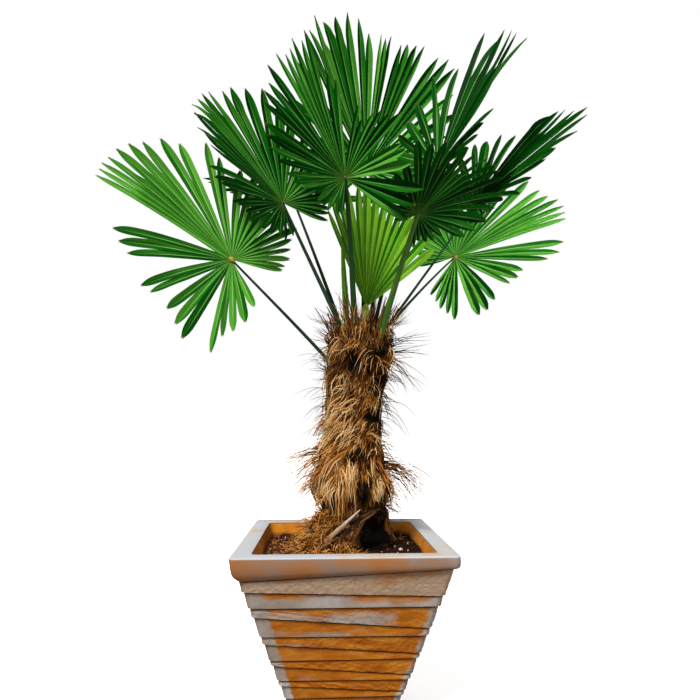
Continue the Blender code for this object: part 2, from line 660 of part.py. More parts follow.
def cuts_of(frond, leaflets):
    """The angle and the depth of each cut, with the blade's two margins first and last."""
    draw = random.Random(frond.name + "_cuts")
    first, last = leaflets[0], leaflets[-1]
    half = 0.5 * (leaflets[1].phi - first.phi)
    cuts = [(first.phi - half, first.length * MARGIN)]
    for a, b in zip(leaflets, leaflets[1:]):
        depth = frond.length * WEB
        if a.finger == b.finger or b.phi - a.phi < TOUCHING:
            depth = a.joined * min(a.length, b.length) * draw.uniform(*CUT_DRAW)
        cuts.append((0.5 * (a.phi + b.phi), depth))
    cuts.append((last.phi + 0.5 * (last.phi - leaflets[-2].phi), last.length * MARGIN))
    return cuts


def blade_mesh(frond):
    """The pleated fan as an open surface of triangles: each leaflet is a gutter with its midrib low."""
    draw = random.Random(frond.name + "_lie")
    leaflets = leaflets_of(frond)
    cuts = cuts_of(frond, leaflets)
    bm = bmesh.new()
    hub = bm.verts.new(Vector(frond.hub))
    notches = [bm.verts.new(fan_point(frond, phi, depth, PLEAT_RISE * depth)) for phi, depth in cuts]
    for number, leaf in enumerate(leaflets):
        (phi_right, depth_right), (phi_left, depth_left) = cuts[number], cuts[number + 1]
        near = 0.5 * (depth_right + depth_left)
        far = max(leaf.length * SHOULDER, near + SHOULDER_OUT * (leaf.length - near))
        gap = 2 * min(leaf.phi - phi_right, phi_left - leaf.phi)
        half = min(LEAFLET_HALF_WIDTH, LEAFLET_FILL * gap * far)
        swing = draw.uniform(*SWING_DRAW) * gap
        lift = draw.uniform(*LIFT_DRAW) * frond.length

        def place(reach, across, fall):
            """A point on this leaflet, which swings and lifts more towards its tip."""
            free = max(0.0, (reach - near) / (leaf.length - near))
            return fan_point(frond, leaf.phi + swing * free + across / reach, reach, lift * free ** 2 - fall)

        fold = 0.5 * PLEAT * half
        right, left = notches[number], notches[number + 1]
        low = bm.verts.new(place(near, 0, PLEAT_RISE * near))
        edge_right = bm.verts.new(place(far, -half, -fold))
        edge_left = bm.verts.new(place(far, half, -fold))
        rib = bm.verts.new(place(far, 0, fold))
        tip = bm.verts.new(place(leaf.length, 0, 0))
        for face in ((hub, right, low), (hub, low, left), (right, edge_right, rib), (right, rib, low),
                     (low, rib, left), (left, rib, edge_left), (edge_right, tip, rib),
                     (rib, tip, edge_left)):
            bm.faces.new(face)
    return mesh_from(bm, frond.name)


def petiole_path(frond):
    """From the socket in the crown straight out, then in a shallow arc to the hub."""
    azimuth, away, height = frond.root
    root = trunk_centre(height) + bearing(math.radians(azimuth)) * away
    hub = Vector(frond.hub)
    along, _, face = frame_of(frond)
    span = (hub - root).length
    straight = (hub - root).normalized()
    arriving = (straight + along * PETIOLE_ARRIVE_ALONG + face * PETIOLE_ARRIVE_FACE).normalized()
    leave = root + (straight + UP * PETIOLE_LEAVE_UP).normalized() * span * PETIOLE_HANDLES[0]
    arrive = hub - arriving * span * PETIOLE_HANDLES[1]
    path = []
    for number in range(PETIOLE_POINTS):
        t = number / (PETIOLE_POINTS - 1)
        path.append(root * (1 - t) ** 3 + leave * 3 * t * (1 - t) ** 2 + arrive * 3 * t * t * (1 - t)
                    + hub * t ** 3)
    return path


def petiole(frond, name, grow, collection):
    """The leaf's stalk, or the hole in the trunk that it stands in where grow is above 0."""
    path = petiole_path(frond)
    if grow:
        path[0] = path[0] - (path[1] - path[0]).normalized() * grow
    else:
        path[-1] = path[-1] + (path[-1] - path[-2]).normalized() * BLADE_THICKNESS
    count = len(path) - 1
    radii = [frond.stalk * (PETIOLE_BASE + (PETIOLE_END - PETIOLE_BASE) * min(1.0, i / (count - 1))) + grow
             for i in range(count + 1)]
    return tube(name, path, radii, collection)


def make_frond(frond, collection, finish):
    """The pleated blade, given its thickness, and its petiole are one grown piece."""
    made = new_object(frond.name, blade_mesh(frond), collection, finish)
    thickness = made.modifiers.new("thickness", "SOLIDIFY")
    thickness.thickness = BLADE_THICKNESS
    thickness.offset = 0
    apply_modifiers(made)
    boolean(made, petiole(frond, "petiole", 0.0, collection), "UNION", "MANIFOLD")
    return made


def make_spear(name, grow, collection, finish=None):
    """The closed leaf: a slim spindle. Where grow is above 0 it is the hole that the leaf stands in."""
    foot, tip = Vector(SPEAR_FOOT), Vector(SPEAR_TIP)
    path = [foot.lerp(tip, share) for share, _ in SPEAR_WIDTHS]
    path[0] = path[0] + (foot - tip).normalized() * grow
    made = tube(name, path, [SPEAR_RADIUS * width + grow for _, width in SPEAR_WIDTHS], collection)
    if finish:
        made.data.materials.append(finish)
    return made


def main():
    for old in list(bpy.data.objects):
        bpy.data.objects.remove(old)
    parts = new_collection("potted_windmill_palm")
    make_pot(parts)
    make_soil(parts)
    sockets = new_collection("sockets")
    for frond in FRONDS:
        petiole(frond, "socket", GAP, sockets)
    make_spear("spear_socket", GAP, sockets)
    make_trunk(parts, sockets)
    leaf = material("palm_leaf", (0.07, 0.24, 0.05), 0.45)
    for frond in FRONDS:
        make_frond(frond, parts, leaf)
    make_spear("spear", 0.0, parts, leaf)


main()
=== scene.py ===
"""The looks of a windmill palm in a square terracotta pot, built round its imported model. Metres, +Z up.

The origin is the middle of the pot's underside. +Y points away from the viewer, +X to the right.
"""
import contextlib
import math
import random
from typing import NamedTuple

import bmesh
import bpy
import numpy as np
from mathutils import Matrix, Vector


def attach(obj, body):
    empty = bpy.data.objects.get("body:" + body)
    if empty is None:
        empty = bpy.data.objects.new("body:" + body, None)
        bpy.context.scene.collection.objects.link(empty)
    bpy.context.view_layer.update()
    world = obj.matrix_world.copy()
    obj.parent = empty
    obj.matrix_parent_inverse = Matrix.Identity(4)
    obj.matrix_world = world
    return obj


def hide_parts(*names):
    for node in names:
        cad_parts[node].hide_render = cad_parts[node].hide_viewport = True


SEED = 11

# Camera: it stands in front of the plant, at a third of its height, and looks slightly up.
CAMERA_PLACE = (-0.045, -1.468, 0.681)
CAMERA_TILT = math.radians(98)
CAMERA_TURN = math.radians(-2.52)
CAMERA_LENS = 28.23

# Light: the sun's azimuth is the way its light travels, turned from +Y towards +X.
SUN_STRENGTH = 4
SUN_SOFTNESS = math.radians(16)
SUN_AZIMUTH = math.radians(28)
SUN_HEIGHT = math.radians(50)
SKY_STRENGTH = 0.26
FLOOR_GLOW = 0.7
FLOOR_BOUNCE = 0.24
FLOOR_HALF_WIDTH = 40
WHITE = (1, 1, 1)

# Pot: the rim is the widest place, and the walls taper down to the foot.
RIM_WIDTH = 0.5
POT_HEIGHT = 0.406
RIM_LIP = 0.04
RIM_NOSE = 0.004
RIM_DISH = 0.001
RIM_INNER_EASE = 0.004
RIM_INNER_DROP = 0.006
CORNER_RADIUS = 0.014
BAND_HALF_WIDTH = 0.2405
TAPER = 0.352
BAND_STEP = 0.0045
BAND_CHAMFER = 0.0025
BAND_SHADOW_GAP = 0.0006
WALL = 0.022
FLOOR_THICKNESS = 0.022
FOOT_EASE = 0.006
DRAIN_RADIUS = 0.009
DRAIN_SIDES = 24
DRAIN_OFFSET = 0.045
# The rim's face: how far out and up from its lower edge, at its low corners and at its high ones.
RIM_FACE_A = ((0.001, 0), (0.007, 0.006), (0.0123, 0.015), (0.015, 0.029))
RIM_FACE_B = ((0.004, 0), (0.0075, 0.003), (0.009, 0.008), (0.0095, 0.014))
# How far below the rim each band ends, at the front left corner and at the front right one
BAND_ENDS_A = (0.051, 0.076, 0.113, 0.134, 0.179, 0.197, 0.236, 0.249, 0.284, 0.297, 0.328, 0.343, 0.372)
BAND_ENDS_B = (0.028, 0.089, 0.113, 0.163, 0.181, 0.222, 0.235, 0.273, 0.286, 0.314, 0.326, 0.358, 0.37)
BAND_ENDS = tuple(zip(BAND_ENDS_A, BAND_ENDS_B))
# How many points a side and a corner have, and how many rows a band, the rim's nose and the inside
SIDE_COLUMNS = 84
CORNER_COLUMNS = 5
BAND_ROWS = 9
NOSE_ROWS = 6
INSIDE_ROWS = 14
# Edges bent more than this stay sharp, and points closer than this become one.
POT_CREASE = math.radians(38)
POT_WELD = 0.00005
# The relief of a chiselled band and of a smooth one: its depth and its size. Then the sizes of the
# relief along the lips and on the rim
CHISELLED = (0.0013, 0.018)
SMOOTH = (0.0004, 0.09)
LIP_RELIEF = 0.022
RIM_RELIEF = 0.12
RIM_SEED = 77
# Where the wash is worn off high at the front right: x, nothing, and twice the height
WORN_PATCH = (0.153, 0, 0.528)

# Soil: its lumps start at one distance from the trunk's axis, and are full at the next.
SOIL_TOP = POT_HEIGHT - 0.026
SOIL_SWELL = 0.012
SOIL_LUMPS = (0.0022, 0.0016)
LUMPS_START = 0.12
LUMPS_FULL = 0.17
SOIL_STEPS = 110
SOIL_CRUMB = 0.0022
SOIL_SEEDS = (21, 22)
SOIL_GAP = 0.0004
GRIT_COUNT = 3400
GRIT_SIZES = (0.0009, 0.003)
GRIT_WALL_GAP = 0.006
GRIT_TRUNK_GAP = 0.082
# Right of this the grit is painted dark as shade, like the soil, but for the crumbs with a white tone
SHADE_FROM = 0.06
WHITE_TONE = 0.94
# Shed fibres, most of them in a heap: its bearing, its height, its share of them, how far from the
# trunk's axis it starts, and how far it spreads out and round
LITTER_COUNT = 2900
LITTER_LENGTHS = (0.025, 0.065)
HEAP_BEARING = math.radians(212)
HEAP_HEIGHT = 0.098
HEAP_SHARE = 0.88
HEAP_START = 0.092
HEAP_OUT = 0.034
HEAP_ROUND = 0.42

# Trunk: how far its axis leans to the right at each height, and its radius there with the fibre
TRUNK_X = ((0.2, 0.043), (0.38, 0.04), (0.58, 0.022), (0.76, 0.03), (0.88, 0.047), (1, 0.055))
TRUNK_PROFILE = (
    (0.384, 0.086), (0.398, 0.1), (0.418, 0.094), (0.426, 0.086), (0.465, 0.091), (0.478, 0.084),
    (0.52, 0.098), (0.56, 0.096), (0.572, 0.084), (0.62, 0.088), (0.636, 0.078), (0.69, 0.08),
    (0.702, 0.072), (0.75, 0.077), (0.762, 0.072), (0.82, 0.086), (0.834, 0.08), (0.88, 0.094),
    (0.905, 0.084), (0.935, 0.064), (0.952, 0.04),
)
# Its plain foot in the soil, and its closed top
STUMP_RADIUS = 0.078
STUMP_BOTTOM = 0.2
CROWN_TOP = 0.96
CROWN_RADIUS = 0.012
# The core under the fibre: its share of the radius, and its points round and up
CORE_SHARE = 0.9
CORE_SIDES = 120
CORE_ROWS = 170
# The even radius that the relief and the strands are laid out on, and the depth, size and seed of the
# relief's lumps and strands
CORE_ROUND = 0.09
CORE_LUMPS = (0.006, 0.05, 5)
CORE_STRANDS = (0.0022, 0.01, 6)
# Fibres: how deep they root in the core, and how many points and what radius each has
ROOT_SINK = 0.002
FIBRE_NODES = 7
FIBRE_RADIUS = 0.0011
# The turn from one tuft or stub to the next
GOLDEN_ANGLE = math.radians(137.5)
# The dark hollow low at the front right of the trunk: its bearing, a height where it is deepest, its
# depth as a share of the radius, and the heights between which it ends
HOLLOW_BEARING = math.radians(-58)
HOLLOW_FLOOR = 0.4
HOLLOW_DEPTH = 0.34
HOLLOW_TOP = (0.472, 0.452)

# Old leaf stubs, in a spiral up the trunk, and narrow ones in the crown
STUB_COUNT = 16
STUB_HEIGHTS = (0.44, 0.87)
STUB_LENGTHS = (0.075, 0.095)
STUB_HALF_WIDTHS = (0.02, 0.014)
STUB_SINK = 0.024
CROWN_STUB_COUNT = 54
CROWN_STUB_HEIGHTS = (0.885, 0.94)
CROWN_STUB_LENGTHS = (0.05, 0.135)
CROWN_STUB_HALF_WIDTHS = (0.003, 0.0055)

# Fronds: a leaflet is widest at its shoulder, the web joins the fingers at the hub, the margins are
# the blade's two ends, and fingers that touch are joined as leaflets are.
PLEAT_RISE = 0.0168
SHOULDER = 0.78
SHOULDER_OUT = 0.25
WEB = 0.11
TOUCHING = math.radians(5)
MARGIN = 0.3
FOLD_EASE = 0.03
LEAFLET_HALF_WIDTH = 0.012
LEAFLET_FILL = 0.42
# How far the leaflets of a frond vary
LENGTH_DRAW = (0.97, 1.02)
CUT_DRAW = (0.9, 1.05)
SWING_DRAW = (-0.1, 0.1)
LIFT_DRAW = (-0.04, 0.04)
ROLL_DRAW = (0, 0.22)
TONE_DRAW = 0.12
# Petiole: its radii at the crown and at the hub, its rows and sides, and how it leaves and arrives
PETIOLE_RADII = (0.0065, 0.0035)
PETIOLE_ROWS = 30
PETIOLE_SIDES = 12
PETIOLE_LEAVE_UP = 0.05
PETIOLE_ARRIVE_ALONG = 0.25
PETIOLE_ARRIVE_FACE = 0.12
PETIOLE_HANDLES = (0.33, 0.3)
# The blade: its thickness, the step between its rows, the columns across a leaflet, how deep a free
# leaflet's gutter is, how its tip ends, its gloss, its glow against the light, and its creases
LEAF_THICKNESS = 0.0006
LEAF_WELD = 0.00002
ROW_STEP = 0.009
COLUMNS = (-1, -0.5, 0, 0.5, 1)
GUTTER = 0.62
TIP_POWER = 1.8
TIP_HALF_WIDTH = 0.0011
LEAF_IOR = 1.14
LEAF_GLOW = 0.15
LEAF_CREASE = math.radians(26)
# The hub's crest: half its length, width and height
CREST_SIZE = (0.007, 0.0056, 0.0042)
CREST_ROWS = 6
CREST_SIDES = 10
# The threads on each blade
THREADS = 3
THREAD_RADIUS = 0.0004

# Spear: the next leaf, still closed
SPEAR_FOOT = (0.012, -0.012, 0.925)
SPEAR_TIP = (-0.005, -0.05, 1.195)
SPEAR_RADIUS = 0.0075
SPEAR_ROWS = 40
SPEAR_SIDES = 24
SPEAR_WIDTHS = ((0, 0.8), (0.3, 1), (0.65, 0.8), (0.9, 0.4), (1, 0.1))


class Finger(NamedTuple):
    """Leaflets that stay joined for part of their length. Angles are in degrees from the blade's axis and
    lengths are shares of the frond's. light is how much lighter its green is than the frond's: painted light
    and shade for how the light falls on the finger."""

    first: float
    last: float
    leaflets: int
    first_length: float
    last_length: float
    joined: float
    light: float = 0


class Frond(NamedTuple):
    """One fan leaf. hub is where the petiole meets the blade, axis the way its middle leaflets point, and
    face the side that its upper surface looks to. fold is how far the blade's halves are folded towards each
    other, in degrees, arch how far it bends back and sag how far its tips hang. root is where the petiole
    leaves the crown: its bearing in degrees, its distance from the trunk's axis and its height. tone is how
    light its green is, from 0 to 1, partly the leaf's own green and partly painted light and shade for the
    light that falls on the frond, blunt how blunt its tips are, stalk how thick the petiole is, close how far
    out its leaflets stay close to each other, and stalk_tone how light the petiole's green is, partly painted
    light where other fronds shade it."""

    name: str
    hub: tuple
    axis: tuple
    face: tuple
    length: float
    fold: float
    arch: float
    sag: float
    root: tuple
    fingers: tuple
    tone: float
    blunt: float
    stalk: float = 1
    close: float = 1
    stalk_tone: float = 0.1


YOUNG = "frond_young"
BACK_FINGERS = (
    (-146, -116, 3, 0.36, 0.48, 0.3), (-101, -66, 4, 0.52, 0.68, 0.38),
    (-54, -6, 6, 0.76, 1, 0.58), (5, 53, 6, 1, 0.76, 0.58),
    (65, 100, 4, 0.68, 0.52, 0.38), (114, 146, 3, 0.48, 0.36, 0.3),
)

FRONDS = (
    Frond("frond_left_low", (-0.292, -0.07, 1.113), (-0.766, -0.02, 0.643), (0.15, -0.98, -0.05),
          0.435, 12, 0.05, 0.04, (203, 0.066, 0.834),
          ((-152, -122, 5, 0.31, 0.39, 0.5, 0.08), (-112, -103, 2, 0.44, 0.44, 0.25),
           (-93, -54, 5, 0.45, 0.6, 0.22), (-42, -37, 2, 0.69, 0.77, 0.45),
           (-26, -21, 2, 0.84, 0.92, 0.52, 0.1), (-14, -6, 3, 0.97, 1.06, 0.66, 0.16),
           (-2, 6, 4, 1.08, 1.03, 0.62, 0.2), (24.5, 38, 3, 0.76, 0.615, 0.52, -0.28),
           (59, 66.5, 2, 0.555, 0.505, 0.5, -0.16), (84, 102.5, 3, 0.49, 0.56, 0.35, -0.12),
           (119.5, 125, 2, 0.6, 0.49, 0.25, 0.06), (133, 155, 3, 0.465, 0.34, 0.25, 0.1)),
          0.71, 0.65, 0.75, 1.08),
    Frond("frond_left", (-0.158, -0.12, 1.25), (-0.58, -0.05, 0.8), (0.36, -0.91, 0.2),
          0.385, 28, 0.05, 0.03, (222, 0.05, 0.905),
          ((-146, -112, 5, 0.32, 0.36, 0.6, 0.1), (-101, -55, 5, 0.42, 0.58, 0.3, 0.16),
           (-42, -20, 4, 0.74, 0.91, 0.56), (-14, -10, 2, 0.94, 0.96, 0.66),
           (-5, 4, 4, 0.99, 0.935, 0.72), (8, 28, 5, 0.885, 0.6, 0.68, -0.12),
           (46, 66, 3, 0.54, 0.51, 0.35, -0.1), (79, 100, 4, 0.46, 0.45, 0.4, -0.1),
           (112, 150, 5, 0.38, 0.3, 0.4)), 0.23, 0.3, 1, 1.12),
    Frond("frond_front", (-0.001, -0.2, 1.283), (-0.15, -0.15, 0.98), (-0.28, -0.94, -0.19),
          0.42, 28, 0.04, 0.02, (247, 0.04, 0.915),
          ((-131, -112, 3, 0.5, 0.55, 0.55, -0.1), (-96, -80, 3, 0.46, 0.43, 0.35, 0.4),
           (-62, -40, 4, 0.5, 0.4, 0.4, -0.04), (-31, -24, 2, 0.35, 0.42, 0.35),
           (-3, 2, 2, 0.58, 0.64, 0.45), (8, 22, 6, 0.9, 0.85, 0.62, 0.2),
           (28, 41, 4, 0.8, 0.66, 0.5, -0.14), (50, 70, 4, 0.56, 0.42, 0.3, -0.1),
           (82, 98, 3, 0.36, 0.28, 0.3), (110, 166, 6, 0.22, 0.22, 0.3)), 0.36, 0.2, 1.3, 1.12, 0.35),
    Frond("frond_top", (0.074, 0.13, 1.467), (0.13, -0.1, 0.98), (0.2, -0.97, -0.1),
          0.465, 8, 0.03, 0.01, (75, 0.03, 0.93),
          ((-138, -104, 3, 0.34, 0.46, 0.4), (-90, -58, 4, 0.48, 0.62, 0.4),
           (-48, -40, 2, 0.78, 0.86, 0.56), (-32, -24, 3, 0.96, 0.98, 0.68),
           (-17, -8, 4, 0.98, 0.93, 0.72), (-3, 1, 3, 0.94, 0.93, 0.74),
           (6, 10, 2, 0.96, 1.03, 0.7), (15.5, 28.5, 4, 1.04, 1.03, 0.72),
           (31, 35, 2, 0.98, 0.93, 0.6), (46, 74, 3, 0.8, 0.6, 0.45),
           (89, 138, 4, 0.5, 0.34, 0.4)), 0.45, 0.1, 1, 1.16),
    Frond("frond_right_high", (0.253, -0.08, 1.374), (0.455, -0.24, 0.875), (-0.837, -0.46, 0.297),
          0.44, 18, 0.03, 0.02, (332, 0.044, 0.925),
          ((-142, -100, 4, 0.34, 0.44, 0.4), (-86, -56, 4, 0.5, 0.53, 0.35),
           (-26, -19, 2, 0.58, 0.66, 0.5), (-13, 16, 6, 0.88, 0.98, 0.66),
           (28, 38, 2, 0.82, 0.76, 0.55), (50, 84, 4, 0.66, 0.52, 0.4),
           (96, 140, 5, 0.46, 0.34, 0.4)), 0.36, 0.4),
    Frond("frond_front_right", (0.176, -0.2, 1.194), (0.52, -0.62, 0.58), (-0.2, 0.58, 0.79),
          0.28, 14, 0.04, 0.05, (312, 0.064, 0.898),
          ((-140, -104, 3, 0.22, 0.26, 0.4), (-90, -52, 4, 0.32, 0.5, 0.45),
           (-38, -2, 5, 0.66, 0.7, 0.6), (6, 40, 5, 0.7, 0.8, 0.62),
           (52, 92, 5, 0.84, 0.7, 0.45), (104, 145, 5, 0.46, 0.34, 0.35)), 0.16, 0.3, 1.5, 1, 0.6),
    Frond("frond_right_low", (0.357, 0.18, 1.209), (0.866, 0, 0.5), (0.15, -0.96, -0.06),
          0.385, 12, 0.04, 0.03, (25, 0.045, 0.915),
          ((-152, -122, 5, 0.37, 0.53, 0.25), (-101, -77, 3, 0.53, 0.48, 0.3),
           (-56, -40, 3, 0.5, 0.57, 0.4), (-30, -20, 3, 0.79, 0.945, 0.55, 0.1),
           (-8, -2, 3, 1.045, 1.06, 0.64, 0.2), (1.6, 10, 3, 1.04, 0.965, 0.62, 0.2),
           (17.5, 44, 4, 0.89, 0.62, 0.4), (56, 92, 4, 0.54, 0.44, 0.25),
           (104, 164, 7, 0.4, 0.32, 0.5)), 0.61, 0.65, 0.7, 1.08),
    Frond("frond_right", (0.383, 0.03, 1.324), (0.71, -0.1, 0.7), (-0.6, -0.6, 0.53),
          0.425, 18, 0.03, 0.03, (350, 0.04, 0.9),
          ((-145, -104, 5, 0.34, 0.42, 0.35), (-92, -62, 3, 0.42, 0.48, 0.35),
           (-46, -30, 2, 0.54, 0.62, 0.45), (-20, -14, 2, 0.8, 0.92, 0.55),
           (-4, 13, 5, 1, 0.95, 0.72), (22, 46, 4, 0.7, 0.6, 0.5),
           (58, 92, 4, 0.5, 0.42, 0.4), (104, 145, 5, 0.42, 0.34, 0.4)), 0.24, 0.5, 0.8),
    Frond(YOUNG, (0.065, 0.02, 1.01), (0.17, -0.02, 0.985), (0, -1, 0),
          0.364, 14, 0.01, 0, (20, 0.008, 0.935),
          ((-40, -32, 2, 0.72, 0.82, 0.5), (-25, 24, 11, 0.94, 0.96, 0.78),
           (28, 32, 2, 0.9, 0.82, 0.6)), 0.8, 0.4, 2.2, 1, 1),
    Frond("frond_back_left", (-0.15, 0.16, 1.38), (-0.45, 0.78, 0.44), (0.15, -0.45, 0.88),
          0.39, 14, 0.1, 0.06, (150, 0.044, 0.915), BACK_FINGERS, 0.42, 0.4),
    Frond("frond_back", (0.14, 0.25, 1.3), (0.26, 0.93, 0.26), (-0.06, -0.26, 0.96),
          0.32, 12, 0.06, 0.05, (70, 0.056, 0.895),
          ((-85, -60, 3, 0.55, 0.66, 0.38), (-50, -6, 6, 0.76, 1, 0.58),
           (5, 44, 5, 1, 0.8, 0.58)), 0.5, 0.4),
    Frond("frond_back_right", (0.215, 0.28, 1.43), (0.45, 0.78, 0.44), (-0.15, -0.45, 0.88),
          0.39, 14, 0.1, 0.06, (50, 0.046, 0.91), BACK_FINGERS, 0.4, 0.4),
)


class Zone(NamedTuple):
    """Tufts of fibre on one stretch of the trunk, between two heights. way is how much a fibre starts
    outward, upward and sideways, and droop turns it down. spread is how far a tuft's fibres part, stand how
    far off the trunk they may lie, tones runs from dark to straw, shade is how much darker the right side is
    painted, as painted shade for the side away from the light, and facing is the bearing and the half angle
    of the covered side, in degrees."""

    low: float
    high: float
    tufts: int
    fibres: int
    lengths: tuple
    way: tuple
    droop: float
    spread: float
    stand: float
    thick: float
    tones: tuple
    shade: float
    curl: float = 0.08
    facing: tuple = (0, 180)


ZONES_HIGH = (
    Zone(0.885, 0.955, 90, 6, (0.05, 0.12), (0.5, 1, 0), 0.15, 0.2, 0.03, 1, (0, 0.95), 0.1),
    Zone(0.79, 0.93, 150, 18, (0.035, 0.07), (0.1, -0.45, -0.25), 0.6, 0.4, 0.008, 0.75, (0.15, 0.8),
         0.3, 0.16),
    Zone(0.79, 0.905, 26, 3, (0.06, 0.1), (0.5, 0.1, -0.5), 1.9, 0.4, 0.014, 1.3, (0.85, 1.1), 0, 0.1),
    Zone(0.78, 0.915, 14, 4, (0.05, 0.1), (1, 0.25, 0.1), 0.9, 0.15, 0.1, 0.7, (0, 0.4), 0.1, 0.05),
)
ZONES_MIDDLE = (
    Zone(0.59, 0.8, 200, 19, (0.04, 0.07), (0.08, -0.5, -0.5), 0.4, 0.3, 0.006, 0.75, (0.35, 0.8), 0.36, 0.1),
    Zone(0.6, 0.78, 36, 4, (0.06, 0.105), (0.4, -0.05, -0.85), 1.3, 0.16, 0.014, 1.4, (0.85, 1.1),
         0.15, 0.04, (-95, 80)),
    Zone(0.6, 0.775, 18, 5, (0.04, 0.08), (1, 0.3, -0.1), 2.6, 0.16, 0.08, 0.7, (0.05, 0.7), 0.3, 0.05),
)
ZONES_LOW = (
    Zone(0.395, 0.6, 150, 17, (0.035, 0.065), (0.1, -0.5, -0.1), 0.5, 0.4, 0.008, 0.75, (0.05, 0.75),
         0.28, 0.15),
    Zone(0.525, 0.605, 84, 10, (0.055, 0.095), (0.45, -0.3, -0.1), 1.6, 0.2, 0.018, 1.1, (0.5, 1.1),
         0.06, 0.05),
    Zone(0.44, 0.6, 22, 6, (0.05, 0.09), (1, 0.25, 0), 2.2, 0.18, 0.09, 0.7, (0.05, 0.65), 0.2, 0.05),
)

# Split leaf bases low at the front: place, way, length, half width and tones. The first is the grey slab, and
# the second, under it, is painted near black as its shadow.
SPLIT_BASES = (
    ((-0.046, -0.126, 0.412), (0.086, 0.014, 0.074), 0.112, 0.0062, (0.5, 1.2)),
    # A dark sheet under the grey slab: painted shadow.
    ((-0.04, -0.118, 0.399), (0.088, 0.012, 0.066), 0.098, 0.011, (0.1, -0.1)),
    ((-0.05, -0.127, 0.403), (0.06, 0.004, 0.036), 0.042, 0.0045, (0.45, 0.3)),
    ((-0.058, -0.122, 0.398), (0.06, 0.004, 0.016), 0.036, 0.0035, (0.55, 0.35)),
    ((0.012, -0.11, 0.452), (0.08, 0.014, 0.034), 0.085, 0.007, (0, 0.12)),
    ((0.018, -0.113, 0.44), (0.07, 0.012, 0.044), 0.07, 0.0035, (0.2, 0.5)),
    ((0.022, -0.112, 0.41), (0.034, 0.008, 0.06), 0.066, 0.0045, (0.05, 0.35)),
)


class Clump(NamedTuple):
    """Hairs that grow from one spot of the trunk: its bearing in degrees and its height, how much they
    start outward, upward and sideways, and how dark or light they are."""

    bearing: float
    height: float
    way: tuple
    length: float
    droop: float
    hairs: int
    tones: tuple


CLUMPS_HIGH = (
    (-20, 0.905, (1, 0.22, 0), 0.125, 0.2, 7, (0, 0.3)),
    (-5, 0.88, (1, 0.16, 0), 0.12, 0.1, 8, (0, 0.3)),
    (12, 0.895, (1, 0.45, 0.1), 0.09, 0.1, 6, (0, 0.4)),
    (-15, 0.86, (1, -0.35, 0), 0.13, 0.9, 8, (0, 0.4)),
    (5, 0.85, (1, -0.1, 0), 0.125, 1.5, 8, (0, 0.4)),
    (-40, 0.865, (1, 0.1, 0.3), 0.08, 1.2, 8, (0.3, 0.9)),
    (20, 0.82, (1, 0.1, 0), 0.06, 1.4, 7, (0, 0.3)),
    (-10, 0.93, (0.7, 1, 0), 0.1, 0.2, 7, (0, 0.4)),
    (190, 0.9, (1, -0.1, 0), 0.085, 0.5, 5, (0.4, 0.8)),
    (175, 0.915, (1, 0.6, 0), 0.075, 0.1, 9, (0, 0.3)),
    (200, 0.9, (1, 0.8, 0), 0.07, 0.1, 9, (0, 0.5)),
    (185, 0.835, (1, 0.7, 0), 0.065, 0.2, 12, (0, 0.3)),
    (170, 0.825, (1, 0.3, 0), 0.06, 0.6, 8, (0, 0.4)),
    (-62, 0.862, (0.6, 0.3, -0.7), 0.085, 2.4, 3, (0.8, 1)),
    (-50, 0.85, (0.5, 0.2, 0.5), 0.075, 2.2, 3, (0.7, 1)),
    (-75, 0.87, (0.5, 0.1, -0.5), 0.08, 2, 3, (0.8, 1)),
    (-110, 0.882, (0.5, 0.2, -1), 0.07, 0.8, 2, (0.8, 1)),
    (60, 0.87, (1, 0.2, 0), 0.12, 0.6, 8, (0, 0.4)),
    (130, 0.89, (1, 0.3, 0), 0.11, 0.6, 8, (0, 0.4)),
)
CLUMPS_MIDDLE = (
    (5, 0.77, (1, 0.3, 0), 0.06, 2.2, 12, (0, 0.3)),
    (-12, 0.745, (1, 0.2, 0), 0.06, 2.4, 10, (0, 0.4)),
    (-60, 0.795, (0.5, 0.2, 0.4), 0.07, 2.2, 3, (0.7, 1)),
    (-80, 0.745, (0.4, 0.2, -0.9), 0.09, 1.2, 5, (0.8, 1)),
    (-100, 0.73, (0.4, 0.1, -0.9), 0.09, 1.2, 5, (0.8, 1)),
    (-62, 0.668, (0.5, 0.3, 0.4), 0.085, 2.2, 5, (0.8, 1)),
    (-84, 0.668, (0.5, 0.3, -0.5), 0.085, 2, 5, (0.8, 1)),
    (-5, 0.72, (1, 0.5, 0), 0.12, 2, 5, (0, 0.3)),
    (8, 0.665, (1, 0.3, 0), 0.06, 2, 12, (0, 0.3)),
    (-10, 0.635, (1, 0.4, 0), 0.07, 2, 12, (0, 0.4)),
    (185, 0.735, (1, -0.1, 0), 0.055, 1, 8, (0.1, 0.5)),
    (195, 0.71, (1, 0.2, 0), 0.085, 2.2, 12, (0.2, 0.7)),
    (178, 0.69, (1, 0.1, 0), 0.07, 2.4, 10, (0.1, 0.5)),
    (190, 0.65, (1, 0.05, 0), 0.075, 1.6, 14, (0.3, 0.9)),
    (70, 0.7, (1, 0.3, 0), 0.1, 2.2, 10, (0.1, 0.6)),
    (115, 0.66, (1, 0.3, 0), 0.09, 2, 10, (0.1, 0.8)),
)
